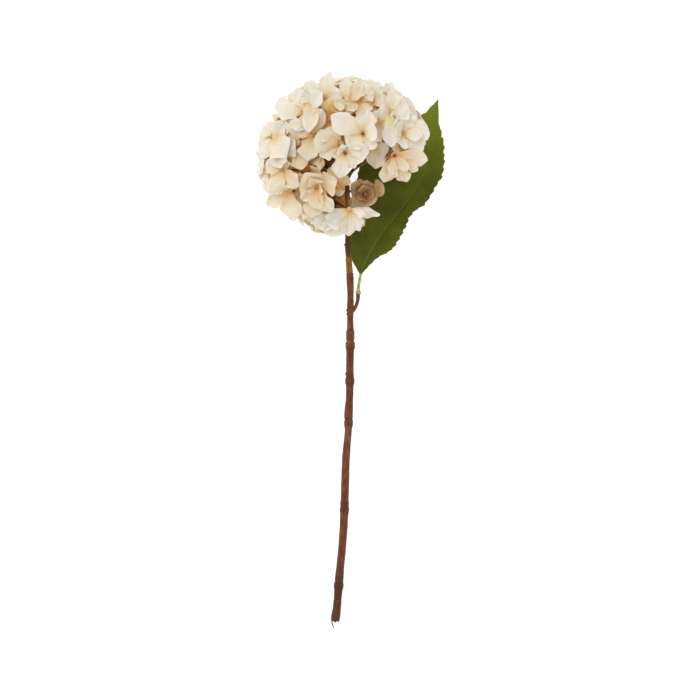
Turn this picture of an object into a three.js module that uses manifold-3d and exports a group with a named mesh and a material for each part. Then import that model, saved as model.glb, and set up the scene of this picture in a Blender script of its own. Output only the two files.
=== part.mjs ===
// A cut hydrangea that lies on its back: one stem, one leaf and one rounded head of florets.
// Millimetres. The stem runs along Y with the head at +Y, Z is up, and the surface below is z = 0.
import * as THREE from "three";
import { mergeVertices } from "three/addons/utils/BufferGeometryUtils.js";
import Module from "manifold-3d";

const wasm = await Module();
wasm.setup();

const at = (x, y, z) => new THREE.Vector3(x, y, z);
const radians = THREE.MathUtils.degToRad;
const { lerp, clamp } = THREE.MathUtils;
const upward = at(0, 0, 1);

// The gap that pieces keep where one seats in another
const gap = 0.3;

// Head: its middle above the surface, and its reach to the sides, along the stem and up
const headCentre = at(-4.5, 175.5, 59.5);
const headRadii = at(80, 74, 65);
const petalThickness = 0.8;
const petalWidest = 0.62;
const petalRootShare = 0.2;
const petalRootRadius = 3;
const petalCup = 0.22;
const hubHeight = 1.5;
const innerRise = 1.6;
const pedicelRadius = 0.9;
const pedicelSides = 3;
const coreRadii = at(20, 22, 18);
const lowerBranchRadii = [3.4, 2.4];
const lowerBranchSides = 5;

// Leaf
const leafThickness = 0.9;
const leafFootHeight = 27;
const leafFallShare = 0.5;
const leafTipRise = 8;
const leftFold = 0.03;
const rightFold = 0.17;
const leafTeeth = 16;
const toothDepth = 1.3;
const petalOverLeaf = 2.4;

// Stem and stalks
const stemTop = 69.3;
const stemTopHeight = 47;
const stemEnd = -244.8;
const stemEndHeight = 3.2;
const stemSides = 12;
const spigotLength = 7;
const spigotRadius = 1.5;
const branchRadius = 1.3;
const branchSides = 6;
const stalkSides = 8;
const twigRadius = 1.65;
const twigFlare = 0.2;
const twigSocket = 1.1;
const leafStalkRadius = 1.1;

// A small seeded random generator, so that the hidden florets fall in the same places every time
let seed = 41;
function random(low, high) {
  seed = (seed * 1664525 + 1013904223) % 4294967296;
  return low + (high - low) * seed / 4294967296;
}

// A closed geometry as a solid that can be joined and cut
function toSolid(geometry) {
  const bare = geometry.clone();
  bare.deleteAttribute("normal");
  bare.deleteAttribute("uv");
  const merged = mergeVertices(bare, 1e-4);
  const corners = merged.index.array;
  const faces = [];
  for (let i = 0; i < corners.length; i += 3) {
    const [a, b, c] = [corners[i], corners[i + 1], corners[i + 2]];
    if (a !== b && b !== c && c !== a) faces.push(a, b, c);
  }
  const vertProperties = new Float32Array(merged.attributes.position.array);
  return new wasm.Manifold(new wasm.Mesh({ numProp: 3, vertProperties, triVerts: new Uint32Array(faces) }));
}

function toGeometry(solid) {
  const mesh = solid.getMesh();
  const geometry = new THREE.BufferGeometry();
  geometry.setAttribute("position", new THREE.BufferAttribute(new Float32Array(mesh.vertProperties), 3));
  geometry.setIndex(new THREE.BufferAttribute(new Uint32Array(mesh.triVerts), 1));
  geometry.computeVertexNormals();
  return geometry;
}

function join(solids) {
  return wasm.Manifold.union(solids);
}

// The largest body of a solid, without the loose scraps that a cut leaves
function largest(solid) {
  return solid.decompose().reduce((a, b) => (a.volume() > b.volume() ? a : b));
}

// A straight tapered rod
function rod(from, to, fromRadius, toRadius, sides) {
  const along = to.clone().sub(from);
  const geometry = new THREE.CylinderGeometry(toRadius, fromRadius, along.length(), sides, 1);
  const turn = new THREE.Quaternion().setFromUnitVectors(at(0, 1, 0), along.clone().normalize());
  const middle = from.clone().addScaledVector(along, 0.5);
  geometry.applyQuaternion(turn);
  return toSolid(geometry.translate(middle.x, middle.y, middle.z));
}

// A turned profile of [distance, radius] steps, bent along a curve that never runs straight up
function limb(curve, profile, sides) {
  const length = curve.getLength();
  const outline = profile.map(([distance, radius]) => new THREE.Vector2(radius, distance));
  outline.unshift(new THREE.Vector2(0, outline[0].y));
  outline.push(new THREE.Vector2(0, outline[outline.length - 1].y));
  const geometry = new THREE.LatheGeometry(outline, sides);
  const places = geometry.attributes.position;
  const spot = at(0, 0, 0);
  for (let i = 0; i < places.count; i++) {
    spot.fromBufferAttribute(places, i);
    const share = clamp(spot.y / length, 0, 1);
    const along = curve.getTangentAt(share);
    const side = along.clone().cross(upward).normalize();
    const top = side.clone().cross(along);
    const moved = curve.getPointAt(share).addScaledVector(side, spot.x).addScaledVector(top, spot.z);
    places.setXYZ(i, moved.x, moved.y, moved.z);
  }
  return toSolid(geometry);
}

// A limb whose radius changes evenly from one end to the other
function plainLimb(points, fromRadius, toRadius, sides) {
  const curve = new THREE.CatmullRomCurve3(points);
  const steps = 2 * (points.length - 1);
  const profile = [];
  for (let i = 0; i <= steps; i++) {
    profile.push([curve.getLength() * i / steps, lerp(fromRadius, toRadius, i / steps)]);
  }
  return limb(curve, profile, sides);
}

// Corners and faces of a plate of even thickness on the surface place(row, column), open at its first
// row. Both sides are split alike, and the last row is a point.
function openPlate(rows, columns, thickness, place) {
  const across = columns.length;
  const end = rows.length - 1;
  const middle = rows.map((row) => columns.map((column) => place(row, column)));
  const normalAt = (i, j) => {
    const column = i === end ? (across - 1) / 2 : j;
    const along = middle[Math.min(i + 1, end)][column].clone().sub(middle[Math.max(i - 1, 0)][column]);
    const row = middle[Math.min(i, end - 1)];
    const wide = row[Math.min(column + 1, across - 1)].clone().sub(row[Math.max(column - 1, 0)]);
    return along.cross(wide).normalize();
  };
  const corners = [];
  for (const half of [thickness / 2, -thickness / 2]) {
    middle.forEach((row, i) => row.forEach((point, j) => {
      corners.push(point.clone().addScaledVector(normalAt(i, j), half));
    }));
  }
  const faces = [];
  const one = (i, j) => i * across + j;
  const other = (i, j) => (i + rows.length) * across + j;
  for (let i = 0; i < end; i++) {
    for (let j = 0; j + 1 < across; j++) {
      faces.push([one(i, j), one(i + 1, j), one(i + 1, j + 1)]);
      faces.push([one(i, j), one(i + 1, j + 1), one(i, j + 1)]);
      faces.push([other(i, j), other(i + 1, j + 1), other(i + 1, j)]);
      faces.push([other(i, j), other(i, j + 1), other(i + 1, j + 1)]);
    }
    const last = across - 1;
    faces.push(...quad(one(i, 0), other(i, 0), other(i + 1, 0), one(i + 1, 0)));
    faces.push(...quad(one(i + 1, last), other(i + 1, last), other(i, last), one(i, last)));
  }
  for (let j = 0; j + 1 < across; j++) {
    faces.push(...quad(one(end, j), other(end, j), other(end, j + 1), one(end, j + 1)));
  }
  const topRoot = columns.map((_, j) => one(0, j));
  const lowRoot = columns.map((_, j) => other(0, j));
  return { corners, faces, topRoot, lowRoot };
}

function quad(a, b, c, d) {
  return [[a, b, c], [a, c, d]];
}

function facesToSolid(corners, faces) {
  const geometry = new THREE.BufferGeometry().setFromPoints(corners);
  return toSolid(geometry.setIndex(faces.flat()));
}

function plate(rows, columns, thickness, place) {
  const { corners, faces, topRoot, lowRoot } = openPlate(rows, columns, thickness, place);
  for (let j = 0; j + 1 < columns.length; j++) {
    faces.push(...quad(topRoot[j + 1], lowRoot[j + 1], lowRoot[j], topRoot[j]));
  }
  return facesToSolid(corners, faces);
}

// Main stem: its middle line seen from above, and its bark as [place along Y, radius], with a ring
// wherever a bud once sat.
const stemLine = [
  [-0.2, 69.3], [0.4, 54], [0.15, 27], [0, 0], [-0.3, -22], [-0.4, -40.5], [-1.4, -58], [-1.5, -72],
  [-3, -90], [-4, -108], [-5, -144], [-5.8, -162], [-7.2, -180], [-9, -198], [-11.4, -228], [-13.4, -244.8],
];
const bark = [
  [69.3, 3.05], [63, 3.25], [45, 2.95], [36, 3.2], [27, 2.7], [18, 3.15], [17, 3.8], [9.9, 3.8], [8.1, 3.3],
  [6.3, 4.3], [1.8, 4.3], [0, 3.5], [-18, 3.45], [-21.6, 3.75], [-25.2, 3.7], [-26.1, 4.35], [-29.7, 4.35],
  [-32.4, 3.5], [-45, 3.45], [-55.8, 4], [-61.2, 4], [-63, 3.5], [-63.9, 4.1], [-67.5, 4.1], [-72, 3.25],
  [-81, 3.4], [-99, 3.7], [-135, 3.45], [-139.5, 3.95], [-141.3, 3.6], [-143.1, 4.2], [-145.8, 4.2],
  [-149.4, 3.6], [-171, 3.6], [-198, 3.6], [-207, 4], [-210.6, 4], [-211.5, 4.45], [-214.2, 4.45],
  [-217.8, 3.75], [-225, 3.5], [-225.9, 3.2], [-227.7, 3.6], [-234, 3.5], [-241.2, 3.85], [-244.8, 3.5],
];
const knobs = [[3.1, 64.8], [3.1, 44.1], [-3.2, 36], [-3.1, 32.4], [-4.1, -21.6]];
const knobRadius = 1.1;

function stemHeight(y) {
  return lerp(stemTopHeight, stemEndHeight, (stemTop - y) / (stemTop - stemEnd));
}

const stemCurve = new THREE.CatmullRomCurve3(stemLine.map(([x, y]) => at(x, y, stemHeight(y))));
stemCurve.arcLengthDivisions = 800;

// Side twig that carries the leaf, from inside the stem to its open end
const twigLine = [
  at(0.2, 33, 42), at(3.2, 36, 41.7), at(5.9, 41, 40.8), at(7.2, 46.5, 40), at(7.3, 50.4, 39.4),
];
const twigCurve = new THREE.CatmullRomCurve3(twigLine);
const twigEnd = twigCurve.getPointAt(1);
const twigWay = twigCurve.getTangentAt(1);
const twigSocketDepth = 3.3;

function stem() {
  const stretch = stemCurve.getLength() / (stemTop - stemEnd);
  const solids = [limb(stemCurve, bark.map(([y, radius]) => [(stemTop - y) * stretch, radius]), stemSides)];
  for (const [x, y] of knobs) {
    solids.push(toSolid(new THREE.IcosahedronGeometry(knobRadius, 0).translate(x, y, stemHeight(y))));
  }
  solids.push(plainLimb(twigLine, twigRadius, twigRadius + twigFlare, stalkSides));
  const top = stemCurve.getPointAt(0);
  const way = stemCurve.getTangentAt(0);
  const outside = top.clone().addScaledVector(way, -1);
  const inside = top.clone().addScaledVector(way, spigotLength + gap);
  const socket = rod(inside, outside, spigotRadius + gap, spigotRadius + gap, stalkSides);
  const twigHole = rod(
    twigEnd.clone().addScaledVector(twigWay, -twigSocketDepth),
    twigEnd.clone().addScaledVector(twigWay, 1),
    twigSocket, twigSocket, stalkSides,
  );
  const bored = join(solids).subtract(socket).subtract(twigHole);
  return largest(bored.subtract(tear()).add(tornStrip()).subtract(underSurface()));
}

// The stem was torn off: a slanting bite at its end, with one thin strip of bark left hanging
const stripLine = [
  at(-15.2, -236, 4.6), at(-16.2, -241, 3.8), at(-16.4, -245.5, 2.7), at(-15.9, -249, 1.7),
  at(-14.9, -251, 1.3),
];
const stripWidth = 1.8;
const stripThickness = 1.1;

function tornStrip() {
  const line = new THREE.CatmullRomCurve3(stripLine);
  const rows = [0, 0.25, 0.5, 0.75, 1];
  return plate(rows, [-1, 0, 1], stripThickness, (share, side) => {
    const point = line.getPointAt(share);
    const half = side * stripWidth / 2 * (1 - 0.5 * share);
    return point.add(at(0.6 * half, 0, 0.8 * half));
  });
}

function tear() {
  const bite = new THREE.BoxGeometry(12, 8, 12);
  bite.rotateZ(radians(-24)).rotateX(radians(18));
  return toSolid(bite.translate(-12.6, -249.3, 4));
}

function underSurface() {
  return toSolid(new THREE.BoxGeometry(120, 600, 40).translate(0, 0, -20));
}

// Flower stalk: plugged into the stem, thick at its foot, and forked inside the head
const stalkLine = [
  at(-0.2, 69.3, 47), at(-0.8, 77, 48), at(-1.8, 94, 50.3), at(-2.2, 126, 54.7), at(-2.6, 150, 58.2),
  at(-5, 166, 61), at(-9, 178, 64),
];
const stalkBark = [
  [2 * gap, 2.95], [3, 3.05], [5, 2.85], [13, 2.95], [15, 2.55], [21, 2.7], [24, 3.05], [27, 2.6], [33, 2.5],
  [45, 2.3], [60, 2.2], [78, 2.2], [92, 2.1],
];
const stalkTipRadius = 1.8;
const branchLine = [
  at(-3, 153, 58.7), at(1.8, 161.1, 63), at(7.2, 165.6, 69), at(13.5, 169.5, 78), at(18, 175, 90),
];
const bluntEndLength = 0.5;

// The stalk, or with some extra all round, the room that it needs
function flowerStalk(extra) {
  const curve = new THREE.CatmullRomCurve3(stalkLine);
  const branch = new THREE.CatmullRomCurve3(branchLine);
  const foot = curve.getPointAt(0);
  const down = stemCurve.getTangentAt(0);
  const buried = foot.clone().addScaledVector(down, spigotLength);
  const inner = foot.clone().addScaledVector(down, -2);
  const bluntEnd = (line, radius, sides) => {
    const way = line.getTangentAt(1);
    const from = line.getPointAt(1).addScaledVector(way, -bluntEndLength);
    const to = line.getPointAt(1).addScaledVector(way, bluntEndLength + extra);
    return rod(from, to, 0.9 * radius + 2 * extra, 0.8 * radius + 2 * extra, sides);
  };
  const profile = [...stalkBark, [curve.getLength(), stalkTipRadius]];
  return join([
    limb(curve, profile.map(([distance, radius]) => [distance, radius + extra]), stalkSides),
    bluntEnd(curve, stalkTipRadius, stalkSides),
    plainLimb(branchLine, branchRadius * 1.3 + extra, branchRadius + extra, branchSides),
    bluntEnd(branch, branchRadius, branchSides),
    rod(buried, inner, spigotRadius, spigotRadius, stalkSides),
  ]);
}

// Leaf: its midrib seen from above, and the reach of the blade to each side of it as
// [share of the length, reach]
const midrib = new THREE.CatmullRomCurve3([
  at(9.3, 69.3, 0), at(13.5, 79.2, 0), at(18, 88.2, 0), at(26, 101.7, 0), at(36, 115.2, 0), at(48, 130, 0),
  at(60, 147, 0), at(69, 166, 0), at(74.5, 184, 0), at(78, 203, 0), at(79.9, 225, 0),
]);
const leftReach = [
  [0, 1.2], [0.013, 4.2], [0.03, 9], [0.058, 14], [0.083, 17], [0.142, 24], [0.25, 36], [0.365, 45],
  [0.43, 49], [0.5, 49], [0.6, 44], [0.7, 36], [0.8, 27.5], [0.88, 20], [0.91, 15.7], [0.955, 7.3], [1, 0],
];
const rightReach = [
  [0, 1.2], [0.037, 3.8], [0.072, 6.1], [0.117, 9], [0.165, 14.5], [0.21, 16.7], [0.28, 15.7], [0.33, 13.9],
  [0.4, 10.8], [0.44, 11.6], [0.48, 15], [0.545, 15.2], [0.6, 15.5], [0.627, 17], [0.667, 15.7], [0.7, 14.4],
  [0.755, 11.6], [0.79, 10.2], [0.82, 7.4], [0.865, 4.2], [0.885, 1.8], [1, 0],
];

function reachAt(table, share) {
  const i = Math.max(1, table.findIndex(([place]) => place >= share));
  const [before, after] = [table[i - 1], table[i]];
  return lerp(before[1], after[1], clamp((share - before[0]) / (after[0] - before[0]), 0, 1));
}

// Height of the leaf's middle surface: it droops from the stalk to the surface, and its tip lifts a little
function leafHeight(share, distance) {
  const fall = Math.max(0, 1 - share / leafFallShare);
  const rise = Math.max(0, (share - 0.6) / 0.4);
  const fold = (distance < 0 ? leftFold : rightFold) * Math.abs(distance) * Math.min(1, share / 0.2);
  return leafThickness / 2 + leafFootHeight * fall * fall + leafTipRise * rise * rise + fold;
}

function leafPoint(share, distance) {
  const along = midrib.getTangentAt(share);
  const point = midrib.getPointAt(share);
  return at(point.x + along.y * distance, point.y - along.x * distance, leafHeight(share, distance));
}

// A row at the point of each tooth, and a row just past it where the edge steps in
function leafBlade() {
  const rows = [{ share: 0, notch: 0 }];
  for (let i = 1; i <= leafTeeth; i++) {
    const tooth = 0.02 + 0.94 * i / leafTeeth;
    rows.push({ share: tooth - 0.004, notch: 0 }, { share: tooth + 0.006, notch: toothDepth });
  }
  rows.push({ share: 1, notch: 0 });
  return plate(rows, [-1, -0.5, 0, 0.5, 1], leafThickness, ({ share, notch }, side) => {
    const reach = reachAt(side < 0 ? leftReach : rightReach, share);
    const cut = Math.abs(side) === 1 ? Math.min(notch, reach * 0.4) : 0;
    return leafPoint(share, side * reach - Math.sign(side) * cut);
  });
}

// Leaf stalk: plugged into the twig, and running on under the foot of the leaf
function leafStalk() {
  const alongTwig = (distance) => twigEnd.clone().addScaledVector(twigWay, distance);
  const under = leafThickness / 2 + gap + leafStalkRadius * 1.2;
  const below = (share) => {
    const along = leafPoint(share + 0.01, 0).sub(leafPoint(share, 0)).normalize();
    const down = along.clone().cross(upward).cross(along).normalize();
    return leafPoint(share, 0).addScaledVector(down, -under);
  };
  const line = [
    alongTwig(2 * gap), alongTwig(3), at(7.8, 57.5, 35), at(8.4, 61.5, 31.2), at(9.1, 65.6, 27.3),
    below(0.02), below(0.05), below(0.08), below(0.11),
  ];
  return join([
    plainLimb(line, leafStalkRadius * 1.45, leafStalkRadius, stalkSides),
    rod(alongTwig(gap - twigSocketDepth), alongTwig(2), twigSocket - gap, twigSocket - gap, stalkSides),
  ]);
}

// How high a petal's middle surface has to stay over a place, to clear the surface and the leaf
function lowest(point) {
  let nearest = 10;
  let height = petalThickness / 2;
  for (let share = 0; share <= 1; share += 0.025) {
    const rib = midrib.getPointAt(share);
    const along = midrib.getTangentAt(share);
    const across = (point.x - rib.x) * along.y - (point.y - rib.y) * along.x;
    const ahead = Math.abs((point.x - rib.x) * along.x + (point.y - rib.y) * along.y);
    const reach = reachAt(across < 0 ? leftReach : rightReach, share) + 12;
    if (ahead < nearest && Math.abs(across) < reach) {
      nearest = ahead;
      height = leafHeight(share, across) + petalOverLeaf;
    }
  }
  return height;
}

// Half the width of a petal, as a share of its greatest, from the root at 0 to the tip at 1
function petalShape(share) {
  if (share < petalWidest) {
    return petalRootShare + (1 - petalRootShare) * Math.sin(Math.PI / 2 * share / petalWidest);
  }
  return Math.cos(Math.PI / 2 * (share - petalWidest) / (1 - petalWidest)) ** 0.75;
}

// The middle surface of a petal. It leaves the floret at its lift, and bends by its curl to the tip.
// To each side it keeps inside its room, an angle, so that petals of one whorl never cross.
function petalSurface(floret, [angle, length, width, lift, curl], room) {
  const start = radians(lift);
  const bend = radians(curl || 0.1);
  const out = at(Math.cos(radians(angle)), Math.sin(radians(angle)), 0);
  const side = at(-out.y, out.x, 0);
  return (share, edge) => {
    const slope = start + bend * share;
    const reach = petalRootRadius + (length - petalRootRadius) / bend * (Math.sin(slope) - Math.sin(start));
    const rise = (length - petalRootRadius) / bend * (Math.cos(start) - Math.cos(slope));
    const limit = reach * Math.tan(radians(edge < 0 ? room[0] : room[1]));
    const half = Math.min(width / 2 * petalShape(share), limit);
    const cup = petalCup * half * edge * edge;
    const point = out.clone().multiplyScalar(reach - cup * Math.sin(slope));
    point.addScaledVector(side, half * edge);
    point.z += rise + cup * Math.cos(slope);
    point.applyQuaternion(floret.turn).add(floret.centre);
    point.z = Math.max(point.z, lowest(point));
    return point;
  };
}

// One ring of petals that share a middle, as one solid
const widestRoom = 60;
const roomKept = 0.96;
const rimStep = 80;

function whorl(floret, petals) {
  const ring = petals.map((petal) => [(petal[0] + 720) % 360, ...petal.slice(1)]);
  ring.sort((a, b) => a[0] - b[0]);
  const nextAngle = (i) => ring[(i + 1) % ring.length][0] + (i + 1 < ring.length ? 0 : 360);
  const onward = ring.map(([angle], i) => nextAngle(i) - angle);
  const place = (x, y, z) => at(x, y, z).applyQuaternion(floret.turn).add(floret.centre);
  const corners = [place(0, 0, hubHeight), place(0, 0, -hubHeight)];
  const faces = [];
  const topRim = [];
  const lowRim = [];
  ring.forEach((petal, i) => {
    const behind = onward[(i + ring.length - 1) % ring.length];
    const room = [behind, onward[i]].map((space) => Math.min(space / 2, widestRoom) * roomKept);
    const blade = openPlate(floret.stations, [-1, 0, 1], petalThickness, petalSurface(floret, petal, room));
    const first = corners.length;
    corners.push(...blade.corners);
    faces.push(...blade.faces.map((face) => face.map((corner) => corner + first)));
    blade.topRoot.forEach((corner, j) => {
      topRim.push({ corner: corner + first, open: j === 2 });
      lowRim.push(blade.lowRoot[j] + first);
    });
    const fill = Math.floor(onward[i] / rimStep - 0.5);
    for (let k = 1; k <= fill; k++) {
      const angle = radians(petal[0] + onward[i] * k / (fill + 1));
      const [x, y] = [petalRootRadius * Math.cos(angle), petalRootRadius * Math.sin(angle)];
      topRim.push({ corner: corners.length, open: true });
      lowRim.push(corners.length + 1);
      corners.push(place(x, y, petalThickness / 2), place(x, y, -petalThickness / 2));
    }
  });
  topRim.forEach(({ corner, open }, i) => {
    const next = (i + 1) % topRim.length;
    faces.push([0, corner, topRim[next].corner], [1, lowRim[next], lowRim[i]]);
    if (open) faces.push(...quad(corner, lowRim[i], lowRim[next], topRim[next].corner));
  });
  return facesToSolid(corners, faces);
}

// The florets that show from above, as [x, y, height] from the middle of the head, the sideways parts
// of the way the floret faces, and its petals as [angle, length, width, lift, curl]
const shownFlorets = [
  // the three open ones in front
  { place: [16, 18.5, 57], face: [0.12, 0.12], petals: [
    [151, 29, 26, 8, -10], [77, 24, 22, 12, -8], [-38, 18, 17, 8, 0], [-140, 20, 18, 5, -5]] },
  { place: [0, 1.5, 58], face: [0, -0.1], petals: [
    [-8, 23, 24, 10, -8], [-102, 23, 23, 10, -8], [150, 12, 13, 50, 15]] },
  { place: [44, -0.5, 47], face: [0.35, -0.3], petals: [
    [-115, 28, 16, 10, -10], [-55, 30, 25, 12, -15], [-8, 32, 22, 10, -10]],
    inner: [[-90, 21, 14, 18, -10]] },
  // the middle
  { place: [-7, 14, 53], face: [-0.15, 0], petals: [[135, 21, 22, 2, -5], [262, 16, 20, 0, 0]],
    inner: [[193, 21, 22, 10, -14]] },
  { place: [26, 8, 45], face: [0.2, -0.3], petals: [
    [-86, 22, 21, 5, -10], [-20, 14, 16, 10, 0], [-150, 14, 16, 5, 0]] },
  { place: [-33, 10, 47], face: [-0.2, 0], petals: [
    [115, 12, 16, 10, 0], [-115, 26, 16, 8, -12], [30, 10, 14, 20, 0]], inner: [[-76, 19, 14, 12, -10]] },
  { place: [-23, 3, 42], face: [0, 0], petals: [[-88, 18, 8, 8, -5], [170, 12, 10, 5, 0]] },
  { place: [-6, -28, 34], face: [0, 0], petals: [
    [20, 10, 9, 20, 0], [-40, 10, 9, 20, 0], [100, 10, 10, 20, 0]] },
  // the right side
  { place: [52, 19, 40], face: [0.5, 0.2], petals: [
    [0, 28, 27, 22, -20], [-80, 16, 18, 15, 0], [95, 20, 20, 20, -10]] },
  { place: [40, 38, 43], face: [0.35, 0.35], petals: [
    [-88, 33, 17, 0, -18], [60, 20, 20, 10, -10], [10, 20, 20, 12, -10]] },
  { place: [52, 42, 26], face: [0.6, 0.45], petals: [
    [50, 15, 15, 10, -8], [-20, 16, 16, 12, -10], [130, 15, 15, 10, 0]] },
  { place: [58, 27, 22], face: [0.75, 0.3], petals: [
    [50, 16, 15, 10, -8], [-40, 18, 16, 12, -10], [130, 15, 15, 10, 0]] },
  // the far side, from left to right
  { place: [-38, 36, 42], face: [-0.3, 0.3], petals: [
    [40, 26, 21, 10, -12], [-50, 19, 14, 8, -10], [-112, 20, 11, 5, -10]] },
  { place: [-46, 40, 33], face: [-0.35, 0.45], petals: [
    [75, 17, 14, 12, -8], [150, 20, 16, 8, -10], [240, 14, 14, 10, 0]] },
  { place: [-18, 48, 38], face: [-0.05, 0.25], petals: [
    [80, 29, 17, 20, -15], [150, 22, 15, 18, -12], [30, 19, 16, 30, -10], [-60, 12, 14, 50, 20]] },
  { place: [3, 48, 43], face: [0.05, 0.35], petals: [
    [100, 23, 14, 25, -15], [190, 15, 9, 25, 10], [50, 22, 16, 12, -12]] },
  { place: [13, 48, 40], face: [0.15, 0.45], petals: [[85, 23, 16, 10, -15], [35, 16, 14, 30, 0]] },
  { place: [24, 46, 39], face: [0.25, 0.45], petals: [
    [72, 24, 17, 12, -18], [120, 22, 12, 30, -10], [20, 16, 16, 20, -10]] },
  { place: [38, 50, 31], face: [0.4, 0.5], petals: [
    [72, 18, 16, 18, -10], [20, 16, 15, 18, -12], [130, 14, 14, 15, 0]] },
  // the left side
  { place: [-66, 14, 24], face: [-0.75, 0.15], petals: [
    [105, 18, 14, 10, -8], [175, 15, 16, 12, -8], [-120, 20, 16, 10, -10]] },
  { place: [-71, -4, 8], face: [-0.96, -0.05], petals: [
    [85, 18, 15, 30, -10], [180, 16, 15, 20, -10], [-95, 18, 15, 30, -10], [0, 15, 15, 30, 0]] },
  { place: [-47, 20, 42], face: [-0.45, 0.15], petals: [
    [-113, 31, 20, 5, -20], [170, 18, 18, 10, -10], [80, 14, 14, 10, 0]] },
  { place: [-56, -14, 34], face: [-0.5, -0.15], petals: [
    [140, 18, 16, 30, -20], [-110, 24, 20, 22, -15], [-30, 20, 17, 12, -10]] },
  { place: [-68, -18, 17], face: [-0.8, -0.25], petals: [
    [150, 14, 14, 8, 0], [-160, 14, 14, 8, 0], [-100, 22, 16, 10, -10]] },
  // the near side, from left to right
  { place: [-50, -33, 33], face: [-0.35, -0.4], petals: [
    [-140, 26, 18, 5, -10], [-82, 28, 21, 12, -15], [110, 10, 16, 50, 20]] },
  { place: [-25, -34, 44], face: [-0.1, -0.3], petals: [
    [-125, 26, 17, 5, -10], [-52, 22, 14, 12, -8], [30, 22, 18, 25, -15], [110, 22, 20, 25, -15]],
    inner: [[40, 13, 10, 60, 10], [-88, 15, 16, 30, -15], [165, 15, 14, 30, -10]] },
  { place: [-8, -52, 36], face: [0, -0.5], petals: [[-150, 22, 16, 5, -10], [-60, 22, 16, -5, -10]],
    inner: [[-100, 22, 22, 6, -15]] },
  { place: [4, -49.5, 40], face: [0.05, -0.45], petals: [[-10, 29, 13, 5, -8], [-68, 20, 12, 12, -10]],
    inner: [[14, 20, 10, 45, 0]] },
  { place: [18, -35, 3], face: [0, 0.1], petals: [
    [140, 12, 16, 40, -10], [80, 14, 18, 40, -10], [20, 18, 18, 30, -20], [-50, 13, 18, 30, -10]] },
];

function shown() {
  return shownFlorets.map(({ place, face: [x, y], petals, inner }) => ({
    centre: at(...place).add(headCentre),
    facing: at(x, y, Math.sqrt(1 - x * x - y * y)),
    petals,
    inner,
    stations: y < -0.2 || Math.abs(x) < 0.3 ? [0, 0.38, 0.76, 1] : [0, 0.55, 1],
  }));
}

// Florets on the sides and the back: spread evenly over the head, wherever none is placed yet
const spreadCount = 46;
const spreadSpacing = 28;
const spreadShare = 0.84;
const spreadTop = 0.25;
const turnBetween = Math.PI * (3 - Math.sqrt(5));

function hidden(placed) {
  const made = [];
  for (let i = 0; i < spreadCount; i++) {
    const height = 1 - 2 * (i + 0.5) / spreadCount;
    const ring = Math.sqrt(1 - height * height);
    const way = at(ring * Math.cos(i * turnBetween), ring * Math.sin(i * turnBetween), height);
    const centre = way.clone().multiply(headRadii).multiplyScalar(spreadShare).add(headCentre);
    const facing = way.clone().divide(headRadii).normalize();
    const roll = random(0, 90);
    const petals = [0, 1, 2, 3].map((k) => [
      roll + 90 * k + random(-6, 6), random(24, 28), random(22, 25), random(6, 20), random(-16, -4),
    ]);
    const crowded = placed.some((other) => other.centre.distanceTo(centre) < spreadSpacing);
    if (height < spreadTop && !crowded && !leftFree(centre)) {
      made.push({ centre, facing, petals, stations: [0, 0.6, 1], fitted: true });
    }
  }
  return made;
}

// Places that hidden petals leave free: the view through the head beside the stalk, the bare
// lower right where the leaf shows, and the stalk itself
const stalkRoom = 6.5;
function leftFree(point) {
  const x = point.x - headCentre.x;
  const y = point.y - headCentre.y;
  const view = x > 3 && x < 31 && y > -29 && y < -4;
  const bare = x > 4 && y < -28 + 0.42 * (x - 38) && !(x < 22 && y < -30);
  const besideStalk = x > -stalkRoom && x < 5 + stalkRoom && y < -10;
  const stalk = besideStalk && Math.abs(point.z - stemTopHeight - 8) < stalkRoom + 4;
  return view || bare || stalk;
}

// Where a floret's own stem leaves the middle of the head: on the core, or on the lower branch
const branchTop = at(-9, 10, 0);
const branchFoot = at(-9, -44, -6);
function pedicelFoot(centre) {
  const place = centre.clone().sub(headCentre);
  const beside = place.x > 0 && place.y > -30;
  const y = clamp(beside ? Math.max(place.y, 6) : 0.85 * place.y, branchFoot.y, branchTop.y);
  const share = (branchTop.y - y) / (branchTop.y - branchFoot.y);
  return branchTop.clone().lerp(branchFoot, share).add(headCentre);
}

function floretSolids(floret) {
  floret.turn = new THREE.Quaternion().setFromUnitVectors(upward, floret.facing);
  const free = (petal) => {
    const surface = petalSurface(floret, petal, [widestRoom, widestRoom]);
    return !floret.stations.some((share) => [-1, 0, 1].some((edge) => leftFree(surface(share, edge))));
  };
  const outer = floret.fitted ? floret.petals.filter(free) : floret.petals;
  const solids = [whorl(floret, outer)];
  if (floret.inner) {
    const centre = floret.centre.clone().addScaledVector(floret.facing, innerRise);
    solids.push(whorl({ ...floret, centre }, floret.inner));
  }
  const foot = pedicelFoot(floret.centre);
  solids.push(rod(foot, floret.centre, pedicelRadius * 1.3, pedicelRadius, pedicelSides));
  return solids;
}

function florets() {
  const placed = shown();
  const top = branchTop.clone().add(headCentre);
  const foot = branchFoot.clone().add(headCentre);
  const core = new THREE.IcosahedronGeometry(1, 1).scale(...coreRadii).translate(...top);
  const branch = rod(top, foot, ...lowerBranchRadii, lowerBranchSides);
  const solids = [toSolid(core), branch, ...[...placed, ...hidden(placed)].flatMap(floretSolids)];
  return largest(join(solids).subtract(flowerStalk(gap)));
}

const pieces = [
  ["stem", stem(), 0x73462f, 0.7],
  ["flower_stalk", flowerStalk(0), 0x8f6a2e, 0.6],
  ["leaf_stalk", leafStalk(), 0xbec369, 0.5],
  ["leaf_blade", leafBlade(), 0x4e551e, 0.6],
  ["florets", florets(), 0xf0e6d4, 0.85],
];

const hydrangea = new THREE.Group();
for (const [name, solid, color, roughness] of pieces) {
  const material = new THREE.MeshStandardMaterial({ color, roughness, metalness: 0 });
  const mesh = new THREE.Mesh(toGeometry(solid), material);
  mesh.name = name;
  hydrangea.add(mesh);
}

export default hydrangea;
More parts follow.
